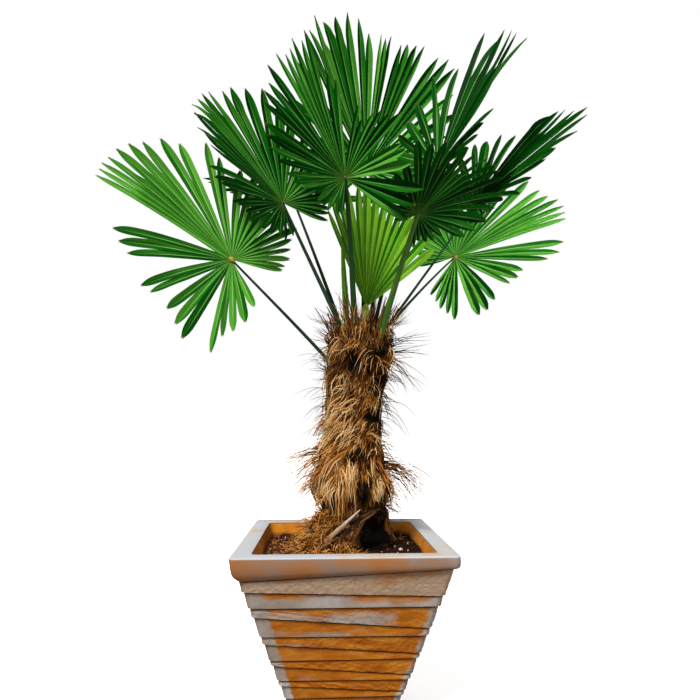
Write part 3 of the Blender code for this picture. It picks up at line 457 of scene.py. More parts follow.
CLUMPS_LOW = (
    (186, 0.615, (1, 0.1, 0), 0.15, 1, 24, (0.1, 0.7)),
    (200, 0.595, (1, 0, 0), 0.125, 1.3, 20, (0.3, 0.9)),
    (192, 0.56, (1, -0.05, 0), 0.085, 1, 20, (0.4, 0.9)),
    (180, 0.53, (1, 0.1, 0), 0.085, 1, 18, (0.4, 0.8)),
    (-8, 0.585, (1, 0.25, 0), 0.19, 1.8, 28, (0, 0.6)),
    (8, 0.57, (1, 0.25, 0), 0.18, 1.9, 22, (0, 0.5)),
    (-25, 0.56, (1, -0.1, 0), 0.11, 2.2, 16, (0.4, 0.9)),
    (0, 0.61, (1, 0.1, 0), 0.08, 1.2, 12, (0, 0.3)),
    (5, 0.51, (1, 0.2, 0), 0.07, 1.6, 12, (0, 0.4)),
    (-15, 0.48, (1, 0.3, 0), 0.075, 1.4, 12, (0.1, 0.6)),
    (80, 0.585, (1, 0, 0), 0.12, 2, 18, (0.3, 0.8)),
    (130, 0.56, (1, 0, 0), 0.12, 1.8, 18, (0.3, 0.9)),
)
# Painted shade in the dark gaps between old leaf bases: bearing, height, half angle and half height of each
SHADED_GAPS = (
    (-58, 0.874, 14, 0.014), (-56, 0.83, 18, 0.016), (-103, 0.845, 9, 0.02), (-38, 0.795, 16, 0.014),
    (-40, 0.716, 20, 0.03), (-82, 0.616, 16, 0.014), (-14, 0.602, 18, 0.02), (-74, 0.535, 9, 0.04),
    (60, 0.84, 24, 0.022), (150, 0.72, 24, 0.026), (95, 0.61, 20, 0.024),
)


# Small tools


def between(ends, share):
    """The value this share of the way from the first end to the second."""
    return ends[0] + (ends[1] - ends[0]) * share


def unit(vectors):
    vectors = np.asarray(vectors, float)
    return vectors / np.maximum(np.linalg.norm(vectors, axis=-1, keepdims=True), 1e-9)


def smooth(low, high, value):
    """0 below low and 1 above high, with an eased step between."""
    t = np.clip((np.asarray(value, float) - low) / (high - low), 0, 1)
    return t * t * (3 - 2 * t)


def turns(sides):
    return np.linspace(0, 2 * math.pi, sides, endpoint=False)


def grid_faces(rows, columns, closed=False):
    """The quads of a grid of points, row after row. closed joins the last column to the first."""
    index = np.arange(rows * columns).reshape(rows, columns)
    following = np.roll(index, -1, axis=1)
    last = columns if closed else columns - 1
    quads = [index[:-1, :last], following[:-1, :last], following[1:, :last], index[1:, :last]]
    return np.stack(quads, axis=-1).reshape(-1, 4)


def copied_faces(faces, copies, points):
    """The faces of many like shapes, each with this many points."""
    starts = (np.arange(copies) * points)[:, None, None]
    return (faces + starts).reshape(-1, faces.shape[1])


def wave_noise(points, size, seed, octaves=3):
    """A smooth field over points from -1 to 1: sums of sine waves with seeded directions."""
    draw = np.random.default_rng(seed)
    total = np.zeros(len(points))
    weight, reach = 1, 0
    for octave in range(octaves):
        for _ in range(5):
            way = unit(draw.normal(size=3)) * (2 * math.pi / (size * 0.5 ** octave))
            total += weight * np.sin(points @ way + draw.uniform(0, 2 * math.pi))
        reach += weight * 5 ** 0.5
        weight *= 0.55
    return np.clip(total / reach, -1, 1)


def placed(name, data, place=(0, 0, 0), target=None):
    """A new object in the scene, which looks at target where one is given."""
    made = bpy.data.objects.new(name, data)
    made.location = place
    if target:
        made.rotation_euler = (Vector(target) - Vector(place)).to_track_quat("-Z", "Y").to_euler()
    bpy.context.scene.collection.objects.link(made)
    return made


@contextlib.contextmanager
def edited(mesh):
    """Opens a mesh for edits and writes it back, shaded smooth."""
    bm = bmesh.new()
    bm.from_mesh(mesh)
    yield bm
    bm.to_mesh(mesh)
    bm.free()
    mesh.shade_smooth()


def close_holes(bm):
    """Fills the open ends and turns the faces outwards."""
    bmesh.ops.holes_fill(bm, edges=[e for e in bm.edges if e.is_boundary], sides=0)
    bmesh.ops.recalc_face_normals(bm, faces=bm.faces)


def apply_modifiers(made):
    graph = bpy.context.evaluated_depsgraph_get()
    mesh = bpy.data.meshes.new_from_object(made.evaluated_get(graph), depsgraph=graph)
    made.modifiers.clear()
    made.data = mesh


class Soup:
    """Collects grids of points with their faces, and makes one object of them. Each point has two maps
    of two numbers, which the materials read. All faces have three corners, or all have four."""

    def __init__(self):
        self.points = []
        self.maps = ([], [])
        self.faces = []
        self.slots = []
        self.count = 0

    def add(self, points, faces, first=(0, 0), second=(0, 0), slot=0):
        """Each map is a pair of numbers, or of arrays that fit the grid of points."""
        points = np.asarray(points, float)
        for kept, pair in zip(self.maps, (first, second)):
            values = [np.broadcast_to(part, points.shape[:-1]).ravel() for part in pair]
            kept.append(np.stack(values, axis=-1))
        self.points.append(points.reshape(-1, 3))
        self.faces.append(np.asarray(faces) + self.count)
        self.slots.append(np.full(len(faces), slot))
        self.count += len(self.points[-1])

    def add_tube(self, points, *looks):
        """Rows of points round a tube, from its foot to its top."""
        self.add(points, grid_faces(*points.shape[:2], closed=True), *looks)

    def mesh(self, name):
        faces = np.concatenate(self.faces)
        mesh = bpy.data.meshes.new(name)
        mesh.from_pydata(np.concatenate(self.points).tolist(), [], faces.tolist(), shade_flat=False)
        mesh.polygons.foreach_set("material_index", np.concatenate(self.slots))
        for map_name, values in zip(("first", "second"), self.maps):
            layer = mesh.uv_layers.new(name=map_name)
            layer.uv.foreach_set("vector", np.concatenate(values)[faces].astype(np.float32).ravel())
        return mesh

    def object(self, name, *materials):
        made = placed(name, self.mesh(name))
        for material in materials:
            made.data.materials.append(material)
        return made


# Materials


class Value:
    """A number, colour or vector that nodes work out. Numbers take the signs for sums and products."""

    def __init__(self, nodes, socket):
        self.nodes = nodes
        self.socket = socket

    def __add__(self, other):
        return self.nodes.math("ADD", self, other)

    def __sub__(self, other):
        return self.nodes.math("SUBTRACT", self, other)

    def __mul__(self, other):
        return self.nodes.math("MULTIPLY", self, other)


class Nodes:
    """A node tree, with short calls to add nodes to it. Their inputs take numbers, colours or values."""

    def __init__(self, tree):
        self.tree = tree

    def put(self, socket, value):
        if isinstance(value, Value):
            self.tree.links.new(value.socket, socket)
        elif socket.type == "RGBA":
            socket.default_value = (*value, 1)
        else:
            socket.default_value = value

    def made(self, kind, inputs, settings):
        node = self.tree.nodes.new(kind)
        for key, value in settings.items():
            setattr(node, key, value)
        for key, value in inputs.items():
            self.put(node.inputs[key], value)
        return node

    def node(self, kind, inputs, out=0, **settings):
        """The value that a new node gives at its output out."""
        return Value(self, self.made(kind, inputs, settings).outputs[out])

    def show(self, share, first, second):
        """Makes a mix of two shaders the surface."""
        mixed = self.node("ShaderNodeMixShader", {0: share, 1: first, 2: second})
        output = next(node for node in self.tree.nodes if node.type.startswith("OUTPUT"))
        self.put(output.inputs["Surface"], mixed)

    def show_to_camera(self, shown, otherwise):
        """One shader for what the camera sees, and another for the light that it throws on things."""
        self.show(self.node("ShaderNodeLightPath", {}, "Is Camera Ray"), otherwise, shown)

    def math(self, operation, first, second=0):
        return self.node("ShaderNodeMath", {0: first, 1: second}, operation=operation)

    def parts(self, vector):
        split = self.made("ShaderNodeSeparateXYZ", {0: vector}, {})
        return [Value(self, output) for output in split.outputs]

    def combined(self, *parts):
        return self.node("ShaderNodeCombineXYZ", dict(enumerate(parts)))

    def noise(self, vector, scale, detail=3, roughness=0.55):
        return self.node("ShaderNodeTexNoise", {"Vector": vector, "Scale": scale, "Detail": detail,
                                                "Roughness": roughness}, "Fac")

    def step(self, value, low, high, first=0, second=1):
        """An eased step from first at low to second at high."""
        return self.node("ShaderNodeMapRange", {0: value, 1: low, 2: high, 3: first, 4: second},
                         interpolation_type="SMOOTHSTEP")

    def mix(self, share, first, second):
        return self.node("ShaderNodeMix", {0: share, 6: first, 7: second}, 2, data_type="RGBA")

    def ramp(self, value, *stops):
        node = self.made("ShaderNodeValToRGB", {0: value}, {})
        ramp = node.color_ramp
        while len(ramp.elements) < len(stops):
            ramp.elements.new(1)
        for element, (at, colour) in zip(ramp.elements, stops):
            element.position = at
            element.color = (*colour, 1)
        return Value(self, node.outputs[0])

    def bump(self, height, distance, strength=1):
        return self.node("ShaderNodeBump", {"Height": height, "Distance": distance, "Strength": strength})


class Shader(Nodes):
    """A material. place is where on the plant a point lies, and shaded its plain surface."""

    def __init__(self, name):
        self.material = bpy.data.materials.new(name)
        self.material.use_nodes = True
        super().__init__(self.material.node_tree)
        self.surface = self.tree.nodes["Principled BSDF"]
        self.shaded = Value(self, self.surface.outputs[0])
        self.place = self.node("ShaderNodeTexCoord", {}, "Object")

    def map(self, name):
        """The two numbers of one of the mesh's maps."""
        return self.parts(self.node("ShaderNodeUVMap", {}, uv_map=name))[:2]

    def stretched(self, *scale):
        return self.node("ShaderNodeMapping", {"Vector": self.place, "Scale": scale})

    def set(self, **inputs):
        for key, value in inputs.items():
            self.put(self.surface.inputs[key.replace("_", " ")], value)

    def finish(self, colour, roughness, normal=None, specular=0.5):
        self.set(Base_Color=colour, Roughness=roughness, Specular_IOR_Level=specular)
        if normal:
            self.set(Normal=normal)
        return self.material


def leaf_material(name, dark, middle, light, rib):
    """Satin green with a pale midrib, fine veins and dry tips. Each half of a gutter is painted lighter or
    darker, as light and shade on the fold's two sides, and painted crease shade darkens the edges where
    leaflets are joined, with free edges a little lighter. Some light comes through the blade."""
    s = Shader(name)
    across, reach = s.map("first")
    tone, along = s.map("second")
    away = s.math("ABSOLUTE", across)
    veins = s.noise(s.combined(across * 7, reach * 6, tone * 40), 1, 4, 0.7)
    # The step across the rib paints one half of the gutter darker than the other, as light and shade on the
    # fold.
    level = s.noise(s.place, 9, 2) * 0.36 + tone + veins + s.step(across, -0.1, 0.1, -0.5, -0.85)
    # Painted crease shade at the edges of the joined part, and a little lighter at the free edges.
    level = level + s.step(away, 0.8, 1) * s.step(along, 0.5, 0.72, -0.3, 0.08)
    colour = s.ramp(level, (0, dark), (0.5, middle), (1, light))
    ribbed = s.step(away, 0.15, 0.05) * s.step(along, 0.98, 0.5, 0.15, 0.95) * s.step(tone, 0, 0.8, 0.35)
    colour = s.mix(ribbed, colour, rib)
    colour = s.mix(s.step(reach, 0.04, 0.006, 0, 0.3), colour, (0.14, 0.24, 0.03))
    dry = s.step(s.noise(s.place, 60) * 0.1 + along, 1.015, 1.05)
    colour = s.mix(dry, colour, (0.16, 0.12, 0.03))
    glow = s.node("ShaderNodeBsdfTranslucent", {"Color": s.mix(0.4, colour, (0.08, 0.44, 0.01))})
    s.show(LEAF_GLOW, s.shaded, glow)
    s.set(IOR=LEAF_IOR, Specular_Tint=(0.22, 1, 0.22))
    return s.finish(colour, 0.42, s.bump(veins + ribbed * 0.5, 0.0006, 0.5), 0.26)


def petiole_material():
    """A leaf stalk: green, and yellow-brown where it leaves the fibres."""
    s = Shader("petiole_green")
    tone, along = s.map("second")
    grain = s.noise(s.stretched(60, 60, 6), 2)
    colour = s.ramp(tone + grain * 0.3 - 0.15, (0, (0.006, 0.019, 0.013)), (0.45, (0.018, 0.085, 0.012)),
                    (0.75, (0.12, 0.27, 0.02)), (1, (0.36, 0.56, 0.035)))
    colour = s.mix(s.step(along, 0.15, 0.02, 0, 0.8), colour, (0.38, 0.23, 0.035))
    return s.finish(colour, 0.4, s.bump(grain, 0.0006, 0.5), 0.25)


def crest_material():
    """The hub's crest: mottled gold on a light frond, and green on a dark one."""
    s = Shader("hub_crest")
    tone, _ = s.map("second")
    gold = s.ramp(s.noise(s.place, 240, 2), (0.38, (0.04, 0.018, 0.004)), (0.48, (0.42, 0.27, 0.02)),
                  (1, (0.7, 0.5, 0.06)))
    return s.finish(s.mix(s.step(tone, 0.45, 0.7), (0.03, 0.08, 0.01), gold), 0.5)


def fibre_material(name="palm_fibre", straw=(0.95, 0.68, 0.34)):
    """Palm fibre: the map's tone runs from near black through orange-brown to straw."""
    s = Shader(name)
    tone, along = s.map("first")
    level = tone + s.step(along, 0, 0.7, -0.16, 0.05) + s.noise(s.place, 30) * 0.5 - 0.25
    colour = s.ramp(level, (0, (0.004, 0.002, 0.001)), (0.2, (0.04, 0.013, 0.002)),
                    (0.45, (0.37, 0.12, 0.011)), (0.7, (0.66, 0.27, 0.042)), (1, straw))
    return s.finish(colour, 0.7, None, 0.1)


def core_material():
    """Felted fibre under the tufts: combed strands over painted near-black shade between them, and painted
    shade, near black, in the hollow and in the gaps between old leaf bases.
    """
    s = Shader("matted_fibre")
    turn, height = s.map("first")
    dark, _ = s.map("second")
    lean = s.noise(s.place, 15, 2) * 0.12 + turn + height * 0.6
    strands = s.noise(s.combined(lean * 300, height * 26), 1, 5, 0.7)
    # Painted shade: the second map darkens the hollow and the gaps between old leaf bases.
    level = s.noise(s.place, 18, 2) * 0.5 + strands * 0.7 - dark * 0.6
    colour = s.ramp(level, (0.36, (0.004, 0.002, 0.001)), (0.55, (0.045, 0.017, 0.005)),
                    (0.7, (0.2, 0.08, 0.02)), (0.9, (0.45, 0.25, 0.1)))
    return s.finish(colour, 0.9, s.bump(strands, 0.005, 0.9), 0.1)


def stub_material():
    """Old leaf bases, from dark brown to grey-tan."""
    s = Shader("old_leaf_base")
    tone, _ = s.map("first")
    grain = s.noise(s.stretched(70, 70, 10), 3, 4, 0.6)
    colour = s.ramp(tone + grain - 0.5, (0, (0.012, 0.005, 0.002)), (0.35, (0.13, 0.045, 0.01)),
                    (0.65, (0.3, 0.16, 0.07)), (1, (0.52, 0.45, 0.36)))
    return s.finish(colour, 0.75, s.bump(grain, 0.0015, 0.8), 0.15)


def soil_material():
    """Red-brown crumbs at the left, painted nearly black at the right as shade."""
    s = Shader("potting_soil")
    crumbs = s.noise(s.place, 420, 3, 0.6)
    colour = s.ramp(s.noise(s.place, 40) * 0.5 + crumbs * 0.6, (0.35, (0.008, 0.003, 0.001)),
                    (0.58, (0.055, 0.017, 0.005)), (0.75, (0.2, 0.07, 0.02)))
    # Painted shade: the soil turns nearly black towards the right.
    right_shade = s.step(s.parts(s.place)[0], 0.02, 0.1, 0, 0.8)
    return s.finish(s.mix(right_shade, colour, (0.005, 0.003, 0.002)), 0.95, s.bump(crumbs, 0.003), 0.1)


def grit_material():
    """Bark, grit and white crumbs: the map's tone picks which."""
    s = Shader("soil_grit")
    colour = s.ramp(s.map("first")[0], (0, (0.01, 0.004, 0.002)), (0.4, (0.075, 0.022, 0.007)),
                    (0.7, (0.28, 0.085, 0.02)), (0.92, (0.48, 0.2, 0.055)), (0.96, (0.55, 0.42, 0.32)),
                    (1, (0.7, 0.6, 0.52)))
    return s.finish(colour, 0.9, s.bump(s.noise(s.place, 900), 0.001, 0.6), 0.1)


def pot_material():
    """Ochre terracotta under a grey wash, which is worn off high on each band and in the middle. The rough
    top band is pinkish, and painted shadow lines lie dark under the lips."""
    s = Shader("washed_terracotta")
    along, band = s.map("first")
    height, drop = s.map("second")
    x, _, z = s.parts(s.place)
    stretched = s.stretched(1, 1, 3.2)
    broad = s.noise(stretched, 7, 2, 0.5)
    ragged = s.noise(stretched, 34, 4, 0.65)
    fine = s.noise(s.place, 420, 3, 0.7)
    # How bare the clay is: more so low on the pot and high on a band, less so at the corners.
    bare = s.step(band, 0.5, 6, -0.42, 0.7) + height * 0.62 + broad * 2.2 + ragged * 0.5 - 1.66
    bare = bare - s.step(ragged * 0.22 + along - x * 0.25, 0.98, 1.16, 0, 1.5)
    worn = s.node("ShaderNodeVectorMath", {0: s.stretched(1, 0, 2), 1: WORN_PATCH}, "Value",
                  operation="DISTANCE")
    bare = s.step(bare + s.step(ragged * 0.06 + worn, 0.085, 0.035, 0, 1.3), -0.28, 0.32)
    clay = s.ramp(s.noise(stretched, 16, 4, 0.6), (0.3, (0.33, 0.078, 0.003)),
                  (0.5, (0.46, 0.135, 0.007)), (0.72, (0.6, 0.24, 0.026)))
    clay = s.mix(s.step(z, 0.13, 0.03, 0, 0.5), clay, (0.29, 0.085, 0.005))
    wash = s.ramp(s.noise(s.place, 13, 4, 0.6), (0.3, (0.31, 0.225, 0.17)), (0.5, (0.38, 0.31, 0.26)),
                  (0.72, (0.5, 0.45, 0.425)))
    pinkish = s.mix(broad, (0.52, 0.29, 0.155), (0.42, 0.3, 0.205))
    wash = s.mix(s.step(band, 1.6, 1.4, 0, 0.8), wash, pinkish)
    colour = s.mix(s.step(fine, 0.5, 0.75, 0, 0.1), s.mix(bare, wash, clay), (0.6, 0.48, 0.38))
    # Painted shadow: a dark line on the wall just under each lip.
    colour = s.mix(s.step(drop, 0.005, 0.0018, 0, 0.94), colour, (0.03, 0.01, 0.003))
    pebbles = s.noise(s.place, 130, 3, 0.6) * s.math("MODULO", band, 2) * 3.4
    return s.finish(colour, 0.9, s.bump(fine + pebbles, 0.0012, 0.6), 0.1)


def rim_material():
    """The rim: its top is nearly white, its front pinkish brown at the left and grey at the right."""
    s = Shader("washed_rim")
    x, _, z = s.parts(s.place)
    cloud = s.noise(s.place, 9)
    front = s.ramp(x * 0.55 + cloud, (0.34, (0.39, 0.145, 0.045)), (0.47, (0.35, 0.168, 0.08)),
                   (0.58, (0.29, 0.19, 0.14)), (0.72, (0.34, 0.28, 0.255)))
    top = s.ramp(cloud, (0.32, (0.52, 0.41, 0.33)), (0.45, (0.52, 0.5, 0.48)), (0.58, (0.47, 0.5, 0.56)),
                 (0.78, (0.54, 0.54, 0.56)))
    upper = s.step(z, POT_HEIGHT - RIM_NOSE, POT_HEIGHT - 0.4 * RIM_NOSE)
    grain = s.bump(s.noise(s.place, 300, 3, 0.7), 0.001, 0.4)
    return s.finish(s.mix(upper, front, top), 0.85, grain, 0.1)


def inner_material():
    """The pot's inside: bare ochre clay, smudged by soil near the bottom."""
    s = Shader("bare_terracotta")
    cloud = s.noise(s.place, 20, 4, 0.6)
    clay = s.ramp(cloud, (0.3, (0.44, 0.135, 0.008)), (0.55, (0.62, 0.225, 0.018)),
                  (0.75, (0.72, 0.34, 0.07)))
    smudge = s.step(cloud * 0.02 + s.parts(s.place)[2], SOIL_TOP + 0.002, SOIL_TOP + 0.012, 0.7, 0)
    grain = s.bump(s.noise(s.place, 260), 0.001, 0.4)
    return s.finish(s.mix(smudge, clay, (0.13, 0.05, 0.015)), 0.9, grain, 0.1)


# Pot


def pot_half_width(depth):
    return BAND_HALF_WIDTH - TAPER * (depth - BAND_ENDS_B[0])


def cavity_half_width(z):
    low = pot_half_width(POT_HEIGHT - FLOOR_THICKNESS) - WALL
    high = RIM_WIDTH / 2 - RIM_LIP - RIM_INNER_EASE
    return low + (high - low) * (z - FLOOR_THICKNESS) / (POT_HEIGHT - RIM_INNER_DROP - FLOOR_THICKNESS)


def square_ring(a, b):
    """A fine square ring with rounded corners, anticlockwise seen from above. Each of a and b is half
    the width and the depth below the rim. The front left and the back right corner take a."""
    arcs = []
    for turn, (sx, sy, (half, depth)) in enumerate(((1, -1, b), (1, 1, a), (-1, 1, b), (-1, -1, a))):
        angles = np.radians(-90 + 90 * turn + np.linspace(0, 90, CORNER_COLUMNS))
        reach = half - CORNER_RADIUS
        arcs.append(np.stack([sx * reach + CORNER_RADIUS * np.cos(angles),
                              sy * reach + CORNER_RADIUS * np.sin(angles),
                              np.full(CORNER_COLUMNS, POT_HEIGHT - depth)], axis=1))
    ring = []
    shares = np.linspace(0, 1, SIDE_COLUMNS + 1)[1:-1, None]
    for arc, following in zip(arcs, arcs[1:] + arcs[:1]):
        ring += [arc, arc[-1] + (following[0] - arc[-1]) * shares]
    return np.concatenate(ring)


def even_ring(half, z):
    return square_ring((half, POT_HEIGHT - z), (half, POT_HEIGHT - z))


def wall_ring(ends, outs, ups=(0, 0)):
    """A ring round the tapered wall at a band's two ends, this far out of the wall and up from them."""
    return square_ring(*[(pot_half_width(end) + out, end - up) for end, out, up in zip(ends, outs, ups)])


def tuck_ring(ends):
    """The ring under a band's lip."""
    return wall_ring(ends, [-BAND_STEP / 2] * 2)


def pushed(rows, depth, size, seed, stretch=1):
    """The rows of points moved out from the pot's axis by a seeded relief."""
    flat = rows.reshape(-1, 3)
    relief = wave_noise(flat * (1, 1, stretch), size, seed, 4)
    sharp = np.abs(relief) ** 0.8 * np.sign(relief)
    outward = unit(flat * (1, 1, 0))
    return (flat + outward * (depth * sharp)[:, None]).reshape(rows.shape)


def add_band(soup, number):
    """One band from under its lip up to under the next lip. Every second one is chiselled."""
    low, high = BAND_ENDS[number], BAND_ENDS[number - 1]
    depth, size = CHISELLED if number % 2 else SMOOTH
    edge = wall_ring(low, [BAND_STEP / 2 - BAND_CHAMFER / 3] * 2)
    out = wall_ring(low, [BAND_STEP / 2] * 2, [BAND_CHAMFER] * 2)
    top = wall_ring(high, [-BAND_STEP / 2] * 2, [-BAND_SHADOW_GAP] * 2)
    shares = np.linspace(0, 1, BAND_ROWS)
    face = out + (top - out) * shares[:, None, None]
    face[:-1] = pushed(face[:-1], depth, size, number, 2)
    edge = pushed(edge[None], depth * 0.7, LIP_RELIEF, number)
    rows = np.concatenate([[tuck_ring(low)], edge, face, [tuck_ring(high)]])
    add_rows(soup, rows, number, [0, 0, *shares, 1])


def add_rows(soup, rows, band, shares, slot=0):
    """Adds rows of points round the pot. The maps are the place along the side and the band, and the
    share of the band's height and the drop from its top."""
    side = np.abs(np.linspace(-1, 1, SIDE_COLUMNS + 1)[1:-1])
    along = np.tile(np.concatenate([np.ones(CORNER_COLUMNS), side]), 4)
    drop = rows[-1, :, 2] - rows[..., 2]
    soup.add_tube(rows, (along, band), (np.array(shares)[:, None], drop), slot)


def rim_rows():
    """The rim from its lower edge over its face, its rounded nose and its dished top into the pot."""
    top = RIM_WIDTH / 2
    rows = [tuck_ring(BAND_ENDS[0])]
    for places in zip(RIM_FACE_A, RIM_FACE_B):
        rows.append(wall_ring(BAND_ENDS[0], *zip(*places)))
    for angle in np.radians(np.linspace(0, 90, NOSE_ROWS)):
        ease, drop = RIM_NOSE * (1 - math.cos(angle)), RIM_NOSE * (1 - math.sin(angle))
        rows.append(even_ring(top - ease, POT_HEIGHT - drop))
    for inward, drop in ((RIM_LIP * 0.6, RIM_DISH * 0.5), (RIM_LIP, RIM_DISH),
                         (RIM_LIP + RIM_INNER_EASE * 0.7, RIM_INNER_DROP * 0.35),
                         (RIM_LIP + RIM_INNER_EASE, RIM_INNER_DROP)):
        rows.append(even_ring(top - inward, POT_HEIGHT - drop))
    return np.stack(rows)


def make_pot():
    """The pot with its chiselled and smooth bands, its rim, inside, floor and drain holes."""
    soup = Soup()
    base = pot_half_width(POT_HEIGHT)
    foot = [even_ring(base, 0), even_ring(base + BAND_CHAMFER, FOOT_EASE), tuck_ring(BAND_ENDS[-1])]
    add_rows(soup, np.stack(foot), len(BAND_ENDS), (0, 0.3, 1))
    for number in range(len(BAND_ENDS) - 1, 0, -1):
        add_band(soup, number)
    rim = pushed(rim_rows(), SMOOTH[0], RIM_RELIEF, RIM_SEED)
    rim[0] = tuck_ring(BAND_ENDS[0])
    add_rows(soup, rim, 0, np.linspace(0, 1, len(rim)), 1)
    heights = np.linspace(POT_HEIGHT - RIM_INNER_DROP, FLOOR_THICKNESS, INSIDE_ROWS)
    inside = np.stack([even_ring(cavity_half_width(z), z) for z in heights])
    inside[0] = rim[-1]
    add_rows(soup, inside, 0, np.zeros(len(inside)), 2)
    pot = soup.object("pot_finish", pot_material(), rim_material(), inner_material())
    with edited(pot.data) as bm:
        bmesh.ops.remove_doubles(bm, verts=bm.verts, dist=POT_WELD)
        close_holes(bm)
    cut_drains(pot)
    pot.data.set_sharp_from_angle(angle=POT_CREASE)
    return pot


def cut_drains(pot):
    """Cuts four drain holes through the floor."""
    cutter = placed("drains", bpy.data.meshes.new("drains"))
    with edited(cutter.data) as bm:
        for x in (-DRAIN_OFFSET, DRAIN_OFFSET):
            for y in (-DRAIN_OFFSET, DRAIN_OFFSET):
                bmesh.ops.create_cone(bm, cap_ends=True, segments=DRAIN_SIDES, radius1=DRAIN_RADIUS,
                                      radius2=DRAIN_RADIUS, depth=FLOOR_THICKNESS * 3,
                                      matrix=Matrix.Translation((x, y, 0)))
    pot.modifiers.new("drains", "BOOLEAN").object = cutter
    apply_modifiers(pot)
    bpy.data.objects.remove(cutter)


# Trunk


def trunk_centre(z):
    """The trunk's axis at each height, as points."""
    z = np.asarray(z, float)
    x = np.full(z.shape, TRUNK_X[0][1])
    for (z0, x0), (z1, x1) in zip(TRUNK_X, TRUNK_X[1:]):
        x = np.where(z >= z0, x0 + (x1 - x0) * smooth(z0, z1, z), x)
    return np.stack([x, np.zeros_like(x), z], axis=-1)


def trunk_radius(z):
    return np.interp(z, *zip(*TRUNK_PROFILE))


def bearing(angle):
    angle = np.asarray(angle, float)
    return np.stack([np.cos(angle), np.sin(angle), np.zeros_like(angle)], axis=-1)


def fibre_roots(angle, height):
    away = trunk_radius(height) * CORE_SHARE - ROOT_SINK
    return trunk_centre(height) + bearing(angle) * away[:, None]


def fibre_ways(angle, way):
    """Directions at these bearings. way is how much they go outward, upward and sideways."""
    outward, upward, aside = way
    turn = bearing(angle)
    sideways = np.stack([-turn[:, 1], turn[:, 0], np.zeros(len(turn))], axis=1)
    return turn * outward + sideways * aside + (0, 0, upward)


def hollow(angle, z):
    """How deep a place on the trunk lies in the dark hollow, from 0 to 1."""
    return smooth(0.8, 0.95, np.cos(angle - HOLLOW_BEARING)) * smooth(*HOLLOW_TOP, z)


def gap_shade(angle, z):
    """How deep a place lies in the painted shade of the gaps, from 0 to 1."""
    depth = np.zeros(np.broadcast(angle, z).shape)
    for middle, height, half_angle, half_height in SHADED_GAPS:
        turn = (angle - math.radians(middle) + math.pi) % (2 * math.pi) - math.pi
        away = np.hypot(turn / math.radians(half_angle), (z - height) / half_height)
        depth = np.maximum(depth, smooth(1.4, 0.4, away))
    return depth


def make_core():
    """The trunk under its tufts: a matted, lumpy column on a plain buried foot."""
    ground = TRUNK_PROFILE[0][0]
    heights = np.linspace(ground, TRUNK_PROFILE[-1][0], CORE_ROWS)
    angles = math.pi / 2 + turns(CORE_SIDES)
    z, angle = np.meshgrid(heights, angles, indexing="ij")
    around = (bearing(angle) * CORE_ROUND + z[..., None] * (0, 0, 1)).reshape(-1, 3)
    radius = trunk_radius(z) * CORE_SHARE * (1 - HOLLOW_DEPTH * hollow(angle, z))
    for squeeze, (depth, size, seed) in ((0.6, CORE_LUMPS), (0.18, CORE_STRANDS)):
        radius += depth * wave_noise(around * (1, 1, squeeze), size, seed).reshape(z.shape)
    column = trunk_centre(z) + bearing(angle) * radius[..., None]
    ends = [trunk_centre(height) + bearing(angles) * away for height, away in
            ((STUMP_BOTTOM, STUMP_RADIUS), (ground, STUMP_RADIUS), (CROWN_TOP, CROWN_RADIUS))]
    points = np.concatenate([ends[:2], column, ends[2:]])
    # Painted shade: the hollow and the gaps between old leaf bases are marked to be darkened.
    foot_dark = hollow(angles, HOLLOW_FLOOR)
    dark = np.concatenate([[foot_dark] * 2, np.maximum(hollow(angle, z), gap_shade(angle, z)), [angles * 0]])
    soup = Soup()
    soup.add_tube(points, (angles * CORE_ROUND, points[..., 2]), (dark, dark))
    core = soup.object("trunk_core", core_material())
    with edited(core.data) as bm:
        close_holes(bm)
    return core


def kept_near(points, clearance, reach):
    """Moves points that lie inside the trunk out to its surface and a little beyond, and points that
    stand off it further than the reach back in."""
    centre = trunk_centre(points[..., 2])
    away = points - centre
    distance = np.maximum(np.linalg.norm(away[..., :2], axis=-1), 1e-4)
    least = trunk_radius(points[..., 2]) * CORE_SHARE + clearance
    kept = np.clip(distance, least, np.maximum(least, least - clearance + reach))
    scale = np.where(points[..., 2] < CROWN_TOP, kept / distance, 1)
    moved = centre + away * scale[..., None]
    moved[..., 2] = np.maximum(points[..., 2], SOIL_TOP - 0.004)
    return moved


def add_fibres(soup, paths, radii, tones, draw, slot=0):
    """Three-sided tapering tubes along paths, an array of fibres by points by three."""
    count, nodes, _ = paths.shape
    tangent = unit(np.gradient(paths, axis=1))
    side = unit(np.cross(tangent, draw.normal(size=(count, 1, 3))))
    other = np.cross(tangent, side)
    size = (radii[:, None] * (np.linspace(1, 0, nodes) ** 0.6 * 0.9 + 0.1))[..., None]
    rings = [paths + (side * math.cos(turn) + other * math.sin(turn)) * size
             for turn in np.radians((90, 210, 330))]
    faces = copied_faces(grid_faces(nodes, 3, closed=True), count, nodes * 3)
    along = np.linspace(0, 1, nodes)[:, None]
    soup.add(np.stack(rings, axis=2), faces, (tones[:, None, None], along), slot=slot)


def grown(roots, ways, lengths, droop, draw, nodes=FIBRE_NODES, wander=0.12):
    """Paths that start at roots along ways and bend down as they grow."""
    steps = nodes - 1
    way = unit(ways)
    path = [roots]
    for _ in range(steps):
        way = unit(way - np.array((0, 0, 1)) * (droop / steps) + draw.normal(size=way.shape) * wander)
        path.append(path[-1] + way * (lengths / steps)[:, None])
    return np.stack(path, axis=1)


